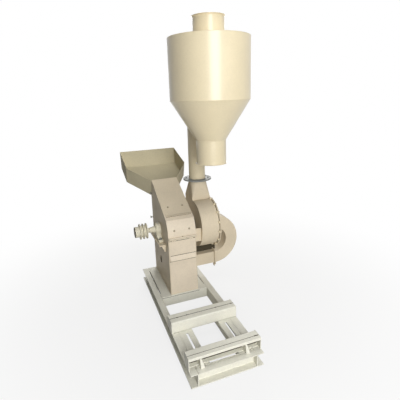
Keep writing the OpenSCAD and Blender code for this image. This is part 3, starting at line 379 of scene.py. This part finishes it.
# %% Shared sizes
RAIL_TOP, BEAM_TOP = 112, 216        # top faces of the rails and of the two beams
RAIL_EDGE = 239                      # inner edge of the rails, left and right of the middle
GUSSET_X = (-205, 170)
MILL_X, MILL_Y = (-140.0, 145.0), (1015.5, 1645.5)
SHAFT_Y, SHAFT_Z = 1330.5, 711.0
BLOCK_X = (-165, 192.5)              # middles of the two pillow blocks
FAN_X, FAN_RING_X = (240.0, 445.0), 435.0
PIPE, PIPE_R = (340.5, 1458.5), 88
FLANGE_Z = (1164, 1178)
CYCLONE = (311.5, 968.5)
print("the mill body is", MILL_X[1] - MILL_X[0], "mm wide and", MILL_Y[1] - MILL_Y[0], "mm deep")

# %% [markdown]
# ## From a bmesh to a piece
#
# Every added piece is built as a bmesh, which is Blender's editable mesh. This function turns
# it into an object, gives it a finish and says which body of the mill it rides on, so that it
# moves with that body in every pose.

# %% Piece maker


def add_piece(name, bm, mat, body, smooth=True):
    """Turns a bmesh in millimetres into an object that rides on a CAD body."""
    bmesh.ops.scale(bm, vec=(MM, MM, MM), verts=bm.verts)
    bmesh.ops.recalc_face_normals(bm, faces=bm.faces)
    data = bpy.data.meshes.new(name)
    bm.to_mesh(data)
    bm.free()
    for face in data.polygons:
        face.use_smooth = smooth
    data.materials.append(mat)
    obj = bpy.data.objects.new(name, data)
    scene.collection.objects.link(obj)
    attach(obj, body)
    print(name, "faces:", len(data.polygons), "rides on:", body)
    return obj


def join_rings(bm, lower, upper):
    """Joins two rings of vertices with quads."""
    for k in range(len(lower)):
        j = (k + 1) % len(lower)
        bm.faces.new((lower[k], lower[j], upper[j], upper[k]))


print("pieces are scaled by", MM, "from millimetres to metres")

# %% [markdown]
# ## Weld beads
#
# A weld bead is a small tube that swells and shrinks a little at each ripple. A bump in the
# paint could only suggest it, and the bead would have no outline, so it is a mesh. The seam's
# points are resampled at an even step, a ring of vertices goes round each one, two sine waves
# vary the ring's size, and the rings are joined. The two ends are smaller.

# %% Bead maker
STEP, END_SIZE = 0.9, 0.45           # shares of the bead's radius
RIPPLE, SWELL = (0.14, 1.9), (0.06, 0.37)  # how strong, and the wave's turn from ring to ring
ACROSS = Vector((0.31, 0.17, 0.93))  # any direction that no seam runs along


def resample(points, step):
    """The same path with points at an even step."""
    points = [Vector(p) for p in points]
    out = [points[0]]
    for a, b in zip(points, points[1:]):
        n = max(1, round((b - a).length / step))
        out += [a.lerp(b, (i + 1) / n) for i in range(n)]
    return out


def bead(bm, points, r, sides=6):
    """Adds one rippled bead along the points to a bmesh."""
    path = resample(points, r * STEP)
    last = len(path) - 1
    rings = []
    for i, p in enumerate(path):
        ahead = (path[min(i + 1, last)] - path[max(i - 1, 0)]).normalized()
        side = ahead.cross(ACROSS).normalized()
        over = ahead.cross(side)
        size = r * (1 + RIPPLE[0] * math.sin(i * RIPPLE[1]) + SWELL[0] * math.sin(i * SWELL[1] + 1))
        if i in (0, last):
            size *= END_SIZE
        rings.append([bm.verts.new(p + size * (math.cos(a) * side + math.sin(a) * over))
                      for a in (math.tau * k / sides for k in range(sides))])
    for lower, upper in zip(rings, rings[1:]):
        join_rings(bm, lower, upper)
    bm.faces.new(rings[0])
    bm.faces.new(rings[-1])


def beads(name, body, mat, runs):
    """Makes one piece from (points, radius) pairs."""
    bm = bmesh.new()
    for points, r in runs:
        bead(bm, points, r)
    add_piece(name, bm, mat, body)
    print(name, "runs:", len(runs))


print("a bead of 3 mm has a ring every", 3 * STEP, "mm")

# %% [markdown]
# The frame is welded from channels, so its beads run where two of them meet, and along the
# feet of the two beams that carry the motor. Each gusset has a bead on both of its sides.
# Straight seams are so common that three small functions give their two ends.

# %% Beads on the frame


def along_x(x0, x1, y, z):
    return [(x0, y, z), (x1, y, z)]


def along_y(x, y0, y1, z):
    return [(x, y0, z), (x, y1, z)]


def along_z(x, y, z0, z1):
    return [(x, y, z0), (x, y, z1)]


SUNK = RAIL_TOP - 0.4                # these beads lie a little deeper between two folds
frame_runs = []
for s in (-1, 1):
    frame_runs += [
        (along_z(s * RAIL_EDGE, 24.5, 9, 103), 3),
        (along_y(s * RAIL_EDGE, -29, 29, SUNK), 2.2),
        (along_y(s * RAIL_EDGE, 1589, 1648, SUNK), 2.2),
        (along_x(s * 238, s * 122, 30.5, SUNK), 2.2),
        (along_x(s * 238, s * 122, 111, RAIL_TOP), 3),
        (along_x(s * 299, s * 241, 111, RAIL_TOP), 3),
        (along_x(s * 299, s * 241, 447, RAIL_TOP), 3),
        (along_x(s * 238, s * 122, 447, RAIL_TOP), 3),
        (along_x(s * 299, s * 122, 570, RAIL_TOP), 3),
    ]
for x in GUSSET_X:
    frame_runs += [(along_y(x + side, 33, 50, RAIL_TOP), 2.5) for side in (-4, 4)]
beads("frame_beads", "frame", finish["frame"], frame_runs)

# %% [markdown]
# The mill body is plate. It has a bead round its foot, a fine one up each front corner, and
# beads along the bearing shelves and the edges of their brackets.

# %% Beads on the mill body
SHELF_Z = 610
(X0, X1), (Y0, Y1) = MILL_X, MILL_Y
shelf_ends = (1127, 1534)
beads("stand_beads", "frame", finish["body"], [
    (along_x(X0, X1, Y0, RAIL_TOP), 3.2),
    (along_y(X0, Y0, Y1, RAIL_TOP), 3.2),
    (along_y(X1, Y0, Y1, RAIL_TOP), 3.2),
    (along_z(X0, Y0 + 0.5, 115, 498), 1.3),
    (along_z(X1, Y0 + 0.5, 115, 498), 1.3),
    (along_y(X0, *shelf_ends, SHELF_Z), 3),
    (along_z(X0, 1125.5, 539, 597), 2.5),
    (along_z(X0, 1535.5, 539, 597), 2.5),
    (along_y(X1, *shelf_ends, SHELF_Z), 3),
    (along_y(FAN_X[0], *shelf_ends, SHELF_Z), 3),
    (along_z(X1, 1119.5, 588, 608), 2.2),
])

# %% [markdown]
# The suction duct leaves the mill's side as a square box and turns up to the fan in a square
# bend, which is folded from four plates. It has beads at the mill's wall and along the inner
# and outer edges of the bend. Above the fan, four beads go round the foot of the neck, and
# the two pipe flanges have a round bead each.

# %% Beads on the ducts
DUCT_Z, DUCT_HALF_Y, DUCT_HALF_Z = 295, 70, 66
BEND_X, BEND_Z = 445, 503
BEND_EDGES = ((142, 40, 1.8), (272.4, 60, 1.4))  # radius, number of steps, bead radius
NECK_Y, NECK_Z = (1358.5, 1590.5), 975


def level_circle(centre, r, z, n=72):
    """Points on a level circle."""
    return [(centre[0] + r * math.cos(math.radians(360 * i / n)),
             centre[1] + r * math.sin(math.radians(360 * i / n)), z) for i in range(n + 1)]


duct_runs = []
for s in (-1, 1):
    y, z = SHAFT_Y + s * DUCT_HALF_Y, DUCT_Z + s * DUCT_HALF_Z
    duct_runs += [
        (along_z(X1 + 1, y, DUCT_Z - DUCT_HALF_Z, DUCT_Z + DUCT_HALF_Z), 2.6),
        (along_y(X1 + 1, SHAFT_Y - DUCT_HALF_Y, SHAFT_Y + DUCT_HALF_Y, z), 2.6),
    ]
    for edge_r, steps, r in BEND_EDGES:
        turns = [math.pi * i / steps for i in range(steps + 1)]
        duct_runs.append(([(BEND_X + edge_r * math.sin(a), y, BEND_Z - edge_r * math.cos(a))
                           for a in turns], r))
duct_runs += [(along_x(*FAN_X, y, NECK_Z), 2.2) for y in NECK_Y]
duct_runs += [(along_y(x, *NECK_Y, NECK_Z), 2.2) for x in FAN_X]
duct_runs += [(level_circle(PIPE, PIPE_R, z), 3) for z in FLANGE_Z]
beads("duct_beads", "frame", finish["body"], duct_runs)

# %% [markdown]
# The cyclone is rolled from sheet. A level bead closes each of its joints. One seam runs down
# the barrel, the cone and the collar, where the rolled sheets were closed. It lies on the far
# side, away from the viewer.

# %% Beads on the cyclone
SEAM_TURN = 1.9  # radians from X towards Y


def down_seam(profile):
    """The closing seam through (radius, height) pairs."""
    return [(CYCLONE[0] + r * math.cos(SEAM_TURN), CYCLONE[1] + r * math.sin(SEAM_TURN), z)
            for r, z in profile]


beads("cyclone_beads", "frame", finish["cyclone"], [
    (level_circle(CYCLONE, 361.6, 2009, n=120), 2.2),
    (level_circle(CYCLONE, 361.2, 2529.2, n=120), 1.6),
    (level_circle(CYCLONE, 138.8, 1650), 2),
    (level_circle(CYCLONE, 137.5, 2530), 3.2),
    (level_circle(PIPE, 87.8, 2207), 2.4),
    (down_seam([(361.8, 2011), (361.8, 2527)]), 2),
    (down_seam([(361.4, 2007), (138.6, 1651), (138.6, 1446)]), 2),
])

# %% [markdown]
# ## Bolts
#
# A bolt head is a hexagon whose top corners are turned off by a cone. It could be cut from a
# solid, but three rings are enough: the foot, the shoulder and the smaller top. With more
# sides the same function makes washers, and a ring closes its cross-section on itself.

# %% Bolt maker
WASHER_T, THREAD_STEP = 1.6, 0.8


def turned_rows(bm, at, axis, profile, sides, spin=0.0):
    """Rings of vertices round an axis, one for each (radius, height) pair."""
    place = Matrix.Translation(Vector(at)) @ Vector(axis).to_track_quat("Z", "Y").to_matrix().to_4x4()
    return [[bm.verts.new(place @ Vector((r * math.cos(spin + math.tau * k / sides),
                                          r * math.sin(spin + math.tau * k / sides), h)))
             for k in range(sides)] for r, h in profile]


def turned(bm, at, axis, profile, sides=24, spin=0.0):
    """Adds a solid turned from (radius, height) pairs."""
    rows = turned_rows(bm, at, axis, profile, sides, spin)
    for lower, upper in zip(rows, rows[1:]):
        join_rings(bm, lower, upper)
    bm.faces.new(rows[0])
    bm.faces.new(rows[-1])


def bolt(bm, at, axis, r, h, washer=True, spin=0.3, thread=0.0):
    """A washer with a hexagon head on it, and a thread end if wanted."""
    up_axis = Vector(axis).normalized()
    head = Vector(at)
    if washer:
        turned(bm, at, axis, [(r * 1.25, 0), (r * 1.25, WASHER_T * 0.8), (r * 1.15, WASHER_T)])
        head += up_axis * WASHER_T
    turned(bm, head, axis, [(r, 0), (r, h * 0.82), (r * 0.88, h)], 6, spin)
    if thread:
        turns = [(r * (0.5 if i % 2 else 0.44), 0.6 + i * THREAD_STEP)
                 for i in range(int(thread / THREAD_STEP))]
        turned(bm, head + up_axis * h, axis,
               [(r * 0.52, 0), *turns, (r * 0.36, thread + THREAD_STEP)], 16)


print("washers are", WASHER_T, "mm thick")

# %% [markdown]
# The CAD bolts are plain hexagons. Finer ones take their place, at the same spots, so the
# plain ones are replaced and no longer show. Twelve of them hold the cover of the fan. Its
# casing is a scroll, whose radius grows with the angle so that the air can leave at the top.
# The long nuts face the viewer and have the cyclone's glossier, lighter enamel: the gloss catches the
# lamps, and the lighter colour partly paints the light they catch.

# %% Bolts on the fan's ring
RING_BOLTS, RING_FROM, RING_TO = 12, 96, 352


def on_scroll(degrees, off=0.0):
    """Y and Z of a point on the fan's casing, or off it."""
    r = 246 + 14 * (degrees - 90) / 270 + off
    return (SHAFT_Y + r * math.cos(math.radians(degrees)),
            SHAFT_Z + r * math.sin(math.radians(degrees)))


bm = bmesh.new()
nuts = bmesh.new()
for i in range(RING_BOLTS):
    y, z = on_scroll(RING_FROM + (RING_TO - RING_FROM) * i / (RING_BOLTS - 1), off=9)
    bolt(bm, (FAN_X[1], y, z), (1, 0, 0), 9, 6.5, spin=i)
    bolt(nuts, (FAN_RING_X, y, z), (-1, 0, 0), 11.5, 15, washer=False, spin=i * 1.7)
ring_set = add_piece("ring_bolts_fine", bm, finish["body"], "frame", smooth=False)
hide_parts("casing_bolts")
# the cyclone's lighter enamel partly paints the light on these nuts
ring_nuts = add_piece("ring_nuts_fine", nuts, finish["cyclone"], "frame", smooth=False)
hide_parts("casing_bolts")

# %% [markdown]
# Two bolts with nuts hold each pillow block to its shelf, and eight hold the pipe's flanges.
# They have the same old galvanising as the flanges. Each is turned by another angle, because
# a spanner never stops at the same place twice.

# %% Bolts on the bearings and the flanges
bm = bmesh.new()
for x in BLOCK_X:
    for s in (-1, 1):
        y = SHAFT_Y + s * 100
        bolt(bm, (x, y, 634), (0, 0, 1), 13, 9, spin=s)
        bolt(bm, (x, y, 598), (0, 0, -1), 13, 8, washer=False, spin=1 + s, thread=6)
for i in range(8):
    a = math.radians(22.5 + 45 * i)
    x, y = PIPE[0] + 120 * math.cos(a), PIPE[1] + 120 * math.sin(a)
    bolt(bm, (x, y, FLANGE_Z[1]), (0, 0, 1), 8.6, 6, spin=i)
    bolt(bm, (x, y, FLANGE_Z[0]), (0, 0, -1), 8.6, 6, washer=False, spin=2 * i, thread=3)
casing = add_piece("casing_bolts_fine", bm, finish["flange"], "frame", smooth=False)
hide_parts("casing_bolts")

# %% [markdown]
# The hood has two bolts on its curved front cover, two on the sloping chute cover, and one
# through the joint with the stand. The chute cover starts above the throat of the tilted
# hopper, so its place is worked out from the hopper's. These bolts ride on the hood and lift
# with it.

# %% Bolts on the hood
TRAY, THROAT_Y, THROAT_Z = math.radians(16), 1647.5, 991.0
CHUTE = math.radians(28.5)
CHUTE_TOP = (THROAT_Y - 192 * math.sin(TRAY), THROAT_Z + 192 * math.cos(TRAY))
CHUTE_BOLTS, COVER_R, COVER_BOLTS = 431.0, 322, math.radians(166)
MIDDLE_X, JOINT_Y = 2.5, 1000.5


def on_chute(x, down, off=0.0):
    """A point given down the chute cover from its top end, and off its surface."""
    return (x, CHUTE_TOP[0] - down * math.cos(CHUTE) - off * math.sin(CHUTE),
            CHUTE_TOP[1] - down * math.sin(CHUTE) + off * math.cos(CHUTE))


bm = bmesh.new()
out = (0, math.cos(COVER_BOLTS), math.sin(COVER_BOLTS))
for s in (-1, 1):
    x = MIDDLE_X + s * 76
    bolt(bm, (x, SHAFT_Y + COVER_R * out[1], SHAFT_Z + COVER_R * out[2]), out, 8, 5, spin=s)
    bolt(bm, on_chute(x, CHUTE_BOLTS), (0, -math.sin(CHUTE), math.cos(CHUTE)), 8, 5, spin=2 * s)
bolt(bm, (MIDDLE_X, JOINT_Y, 723.5), (0, 0, 1), 7, 5, washer=False)
turned(bm, (MIDDLE_X, JOINT_Y, 698.7), (0, 0, 1), [(3.9, 0), (3.9, 25)], 16)
hood_set = add_piece("hood_bolts_fine", bm, finish["worn_bolt"], "hood", smooth=False)
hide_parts("hood_bolts")

# %% [markdown]
# ## Small fittings
#
# Small fittings make a machine believable. Each bearing has a grease nipple on top, seal
# rings close the bearings round the shaft, and the hood's hinge pin has a washer at both
# ends. All are round, so the profile of each is enough.

# %% Nipples, seals and washers
NIPPLE = [(5, 0), (5, 3), (2.6, 3.5), (2.6, 6), (3.6, 7), (3.4, 9), (1.6, 10.5)]
SEAL = [(33, 0), (33, 1), (35, 1.4), (45, 1.4), (47, 0.8), (47, 0)]
HINGE_WASHER = [(8.3, 0), (14, 0), (14, 1.8), (8.3, 1.8)]


def ring(bm, at, axis, loop, sides=48):
    """Adds a ring whose cross-section is a closed loop of (radius, height) pairs."""
    rows = turned_rows(bm, at, axis, loop, sides)
    for lower, upper in zip(rows, rows[1:] + rows[:1]):
        join_rings(bm, lower, upper)


bm = bmesh.new()
for x in BLOCK_X:
    turned(bm, (x, SHAFT_Y, SHAFT_Z + 65.5), (0, 0, 1), NIPPLE, 20)
for x, way in ((171.5, -1), (213.5, 1), (-144, 1)):
    ring(bm, (x, SHAFT_Y, SHAFT_Z), (way, 0, 0), SEAL)
for x in (-154, 146):
    ring(bm, (x, 1671.5, 728), (1, 0, 0), HINGE_WASHER, 32)
fittings = add_piece("fittings", bm, finish["zinc"], "frame")

# %% [markdown]
# The pulley's hub has three set screws, of which the rims of the holes show, and a thin disc
# makes the end of the shaft. A cast spacer sleeve sits between the pulley and the bearing.
# All of them turn with the rotor.

# %% Details on the shaft
HUB_R, SCREW_TURNS = 54.9, (40, 160, 280)
SCREW_RIM = [(3, 0), (5.5, 0), (5.2, 1), (3.2, 1)]
SHAFT_END = [(20.6, 0), (19.4, 1.2), (4, 1.2), (3, 0.4)]
SLEEVE = [(20.4, 0), (26, 0), (26, 23), (20.4, 23)]

bm = bmesh.new()
for turn in SCREW_TURNS:
    out = Vector((0, math.cos(math.radians(turn)), math.sin(math.radians(turn))))
    ring(bm, (-381, SHAFT_Y + HUB_R * out.y, SHAFT_Z + HUB_R * out.z), out, SCREW_RIM, 24)
turned(bm, (-400.2, SHAFT_Y, SHAFT_Z), (-1, 0, 0), SHAFT_END, 48)
spacer = bmesh.new()
ring(spacer, (-278.5, SHAFT_Y, SHAFT_Z), (1, 0, 0), SLEEVE)
add_piece("shaft_spacer", spacer, finish["cast"], "rotor")
shaft_end = add_piece("shaft_details", bm, finish["steel"], "rotor")

# %% [markdown]
# A bare sheet edge would cut the hands that fill the hopper, so its rim is rolled into a
# round hem. The bead maker gives it, slightly uneven as rolled sheet is.

# %% Hopper hem
RIM_UP = 180
RIM = ((-139, 1), (-348.5, 352), (-348.5, 802.6), (353.5, 802.6), (353.5, 352), (144, 1))


def on_tray(x, u, n):
    """A point given along the hopper's floor (u) and up from it (n)."""
    return (x, THROAT_Y + u * math.cos(TRAY) - n * math.sin(TRAY),
            THROAT_Z + u * math.sin(TRAY) + n * math.cos(TRAY))


bm = bmesh.new()
rim = [on_tray(x, u, RIM_UP) for x, u in RIM]
for a, b in zip(rim, rim[1:]):
    bead(bm, [a, b], 2.6, sides=8)
hem = add_piece("hopper_hem", bm, finish["hopper"], "hood")

# %% [markdown]
# ## Small plates
#
# Thin plates close the two ends of each beam, and each gusset carries a triangular web on its
# right. A flat bar along the front channel narrows the gap behind it. A plate is a polygon
# and its copy, moved by the thickness and joined round the edge.

# %% Beam plates


def slab(bm, points, shift):
    """Adds a plate: a polygon and its copy moved by shift, joined round the edge."""
    near = [bm.verts.new(Vector(p)) for p in points]
    far = [bm.verts.new(Vector(p) + Vector(shift)) for p in points]
    bm.faces.new(near)
    bm.faces.new(far)
    join_rings(bm, near, far)


FOOT_Z, HEAD_Z = 112.2, 215.7
bm = bmesh.new()
for x in (-299.8, 293.8):
    for y0, y1 in ((15.3, 110.7), (447.3, 569.7)):
        slab(bm, along_y(x, y0, y1, FOOT_Z) + along_y(x, y1, y0, HEAD_Z), (6, 0, 0))
for x in (GUSSET_X[0] + 4, GUSSET_X[1] + 4):
    slab(bm, [(x, 5, 112.3), (x + 26, 5, 112.3), (x + 3, 20.6, 190), (x, 20.6, 190)], (0, 5, 0))
slab(bm, along_x(-121, 121, 30, 106.2) + along_x(121, -121, 38, 106.2), (0, 0, 5.6))
plates = add_piece("beam_plates", bm, finish["frame"], "frame", smooth=False)

# %% [markdown]
# A dark shape lies between the suction duct and the fan, where something has to carry the heavy
# casing. Here it is taken for a web of plate that stands on the duct, in the casing's shadow, and its
# dark finish paints that shade. Its right end reaches into the bend.

# %% Web under the fan
WEB = ((147, 360), (478, 362), (478, 400), (446, 436), (432, 438), (432, 457), (147, 457))
bm = bmesh.new()
slab(bm, [(x, SHAFT_Y, z) for x, z in WEB], (0, 6, 0))
# the web's dark finish is painted shade
saddle = add_piece("fan_saddle_shade", bm, finish["painted_shade"], "frame", smooth=False)

# %% [markdown]
# ## Seams
#
# Where two plates don't quite touch, dust and shadow draw a dark line. The line could be painted into
# a texture, but a thin strip of the dark finish keeps its width wherever it is seen from, so the
# strips paint that line and its shade. Each strip is a box between two points. The first ones are not
# dark: they fill the fold of the rails with the frame's own paint, so that it looks flush.

# %% Strip maker and rail filler


def strip(bm, ends, size):
    """Adds a thin box between two ends; size gives its extent along X, Y and Z there."""
    low = [min(p, q) - t / 2 for p, q, t in zip(*ends, size)]
    high = [max(p, q) + t / 2 for p, q, t in zip(*ends, size)]
    bmesh.ops.create_cube(bm, size=1, matrix=Matrix.LocRotScale(
        [(p + q) / 2 for p, q in zip(low, high)], None, [q - p for p, q in zip(low, high)]))


filler = bmesh.new()
for s in (-1, 1):
    for y0, y1 in ((112, 446), (571, 666)):
        strip(filler, along_y(s * RAIL_EDGE, y0, y1, RAIL_TOP), (9, 0, 0.5))
add_piece("rail_filler", filler, finish["frame"], "frame", smooth=False)

# %% [markdown]
# Each beam is made of two parts, with an open seam along its top that is wider in places, and a dark
# strip paints the shade in that seam. More dark strips paint shadows inside the front beam under its
# lip, under the base plate's front edge, in the gaps beside that plate, and across the stand's front:
# over the door and under the door's lip. A thin dark bead paints the shade at the foot of the fan's
# ring.

# %% Painted shade in the seams of the frame and the stand
REAR_SEAM, FRONT_SEAM = 508.5, 49.5
ON_BEAM, OVER_BEAM = BEAM_TOP + 0.1, BEAM_TOP + 0.2
STAND_FRONT = 1015.3

# every dark strip below, and the dark bead, paints shade or shadow in a seam or gap
bm = bmesh.new()
strip(bm, along_x(-299, 299, REAR_SEAM, ON_BEAM), (0, 5.5, 0.3))
for x, half in ((-232, 8), (-145, 5), (128, 7), (277, 9)):
    strip(bm, along_x(x - half, x + half, REAR_SEAM, OVER_BEAM), (0, 10, 0.4))
strip(bm, along_x(-299, 299, FRONT_SEAM, ON_BEAM), (0, 4, 0.3))
strip(bm, along_x(255, 292, FRONT_SEAM, OVER_BEAM), (0, 9, 0.4))
strip(bm, along_x(-293, 293, 93, 118.3), (0, 20, 0.4))
strip(bm, along_x(-236, 160, 1005.3, 98), (0, 0.3, 7.4))
for s in (-1, 1):
    strip(bm, along_y(s * 236, 1077, 1578, 109.5), (5.4, 0, 0.6))
strip(bm, along_x(-132, 137, STAND_FRONT, 686), (0, 0.3, 6))
strip(bm, along_x(-134, 139, STAND_FRONT, 471), (0, 0.3, 6))
bead(bm, [(FAN_RING_X - 1, *on_scroll(turn)) for turn in range(92, 359, 4)], 1.8, sides=8)
seams = add_piece("frame_seams", bm, finish["painted_shade"], "frame", smooth=False)

# %% [markdown]
# The painted shade in the seams of the door and of the hood is in pieces of its own, because it moves
# with them: the dark line over the door's lip, the joint under the hood, and the shadow in the gap
# under the flared end of the chute cover.

# %% Painted shade in seams that move
bm = bmesh.new()
# painted shade in the fold over the door's lip
strip(bm, along_x(-124, 139, STAND_FRONT, 531), (0, 0.3, 4.6))
door_seam = add_piece("door_seam", bm, finish["painted_shade"], "door", smooth=False)

FLARE_DOWN, GAP_T = 562, 0.3
bm = bmesh.new()
# painted shade in the joint under the hood and in the gap under the chute cover's lip
strip(bm, along_x(-139.8, 144.8, 992.4, 711.2), (0, 0.3, 1.8))
gap = [on_chute(x, FLARE_DOWN, off)
       for x, off in ((-125, 0.4), (-125, 5), (130, 5), (130, 0.4))]
slab(bm, gap, (0, GAP_T * math.cos(CHUTE), GAP_T * math.sin(CHUTE)))
hood_seams = add_piece("hood_seams", bm, finish["painted_shade"], "hood", smooth=False)

# %% [markdown]
# ## Floor
#
# The photograph has a plain white background. A floor lit up to white would throw that light
# back at the mill. Instead the floor is a matt grey that takes the mill's shadow, and Light
# Path tells which rays come straight from the camera or off a shiny surface. For these rays
# the floor is mostly white near the mill, so that a faint shadow stays, and all white away
# from it.

# %% Floor
WHITE = linear("ffffff")
FLOOR_MM = 900                       # soft clouds in the floor's grey
SPOT, NEAR, FAR = (0.1, 1.1, 0), 0.6, 3.2  # in metres: the mill's middle, and where it fades


def seen_directly(owner):
    """1 for rays that come from the camera or off shiny surfaces, 0 for the rest."""
    rays = node(owner, "ShaderNodeLightPath")
    seen = rays.outputs["Is Camera Ray"]
    for ray in ("Is Glossy Ray", "Is Transmission Ray"):
        seen = node(owner, "ShaderNodeMath", {0: seen, 1: rays.outputs[ray]},
                    operation="MAXIMUM").outputs["Value"]
    return seen


floor_mat, matt = new_material("matt_grey_floor")
shade = node(floor_mat, "ShaderNodeValToRGB", {"Fac": blotches(floor_mat, FLOOR_MM, 2)},
             [(0.3, linear("b4b3b0")), (0.7, linear("bab9b6"))])
set_inputs(floor_mat, matt, {"Base Color": shade.outputs["Color"], "Roughness": 0.7})
place = node(floor_mat, "ShaderNodeTexCoord").outputs["Object"]
shifted = node(floor_mat, "ShaderNodeVectorMath", {0: place, 1: SPOT}, operation="SUBTRACT")
away = node(floor_mat, "ShaderNodeVectorMath", {0: shifted.outputs["Vector"]},
            operation="LENGTH")
fade = node(floor_mat, "ShaderNodeMapRange", {
    "Value": away.outputs["Value"], "From Min": NEAR, "From Max": FAR,
    "To Min": 0.8, "To Max": 1.0}, interpolation_type="SMOOTHSTEP")
share = node(floor_mat, "ShaderNodeMath", {
    0: fade.outputs["Result"], 1: seen_directly(floor_mat)}, operation="MULTIPLY")
glow = node(floor_mat, "ShaderNodeEmission", {"Color": WHITE, "Strength": 1.0})
blend = node(floor_mat, "ShaderNodeMixShader", {
    0: share.outputs["Value"], 1: matt.outputs["BSDF"], 2: glow.outputs["Emission"]})
set_inputs(floor_mat, floor_mat.node_tree.nodes["Material Output"],
           {"Surface": blend.outputs["Shader"]})

floor_mesh = bpy.data.meshes.new("floor")
floor_mesh.from_pydata([(-14, -10, 0), (14, -10, 0), (14, 22, 0), (-14, 22, 0)], [],
                       [(0, 1, 2, 3)])
floor = bpy.data.objects.new("floor", floor_mesh)
scene.collection.objects.link(floor)
floor.data.materials.append(floor_mat)
floor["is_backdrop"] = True
print("the floor's material has", len(floor_mat.node_tree.nodes), "nodes")

# %% [markdown]
# ## Surround
#
# The world does the same as the floor. It is plain white for the camera and in reflections,
# and a faint light for everything else, which keeps the shadows from going black.

# %% Surround
SURROUND = 0.05
scene.view_settings.view_transform = "Standard"
world = bpy.data.worlds.new("surround")
scene.world = world
world.use_nodes = True
level_of = node(world, "ShaderNodeMapRange", {
    "Value": seen_directly(world), "To Min": SURROUND, "To Max": 1.0})
set_inputs(world, world.node_tree.nodes["Background"],
           {"Color": WHITE, "Strength": level_of.outputs["Result"]})
print("the surround lights the mill with", SURROUND, "of white")

# %% [markdown]
# ## Lamps
#
# Four wide lamps give the soft light of a product photograph, because a wide lamp has soft
# shadows. The key lamp stands in front and a weak one on the right, so the left sides fall
# into shade and the round barrel gets one broad highlight. One above lights the top faces,
# and one behind keeps the mill readable from the back.

# %% Lamps


def lamp(name, at, to, size, power):
    """A rectangle of light at a place, aimed at a point."""
    data = bpy.data.lights.new(name, "AREA")
    data.shape = "RECTANGLE"
    data.size, data.size_y = size
    data.energy = power
    obj = bpy.data.objects.new(name, data)
    obj.location = at
    obj.rotation_euler = (Vector(to) - Vector(at)).to_track_quat("-Z", "Y").to_euler()
    scene.collection.objects.link(obj)


lamp("key", (-0.4, -4.5, 2.7), (0.1, 1.0, 1.2), (2.5, 3.2), 295)
lamp("side", (2.6, -3.6, 2.4), (0.2, 1.0, 1.0), (2.0, 2.8), 15)
lamp("top", (0.6, 0.4, 5.4), (0.0, 1.1, 0.0), (2.4, 2.6), 82)
lamp("back", (2.4, 6.4, 2.8), (0.1, 1.2, 1.0), (3.0, 3.0), 220)

# %% [markdown]
# ## The size of the dressed model
#
# The box round the dressed model, without the floor, is printed as its two corners. The
# dressed model has to stay inside the CAD model's box.

# %% Finish
print("box kept:", box_list())
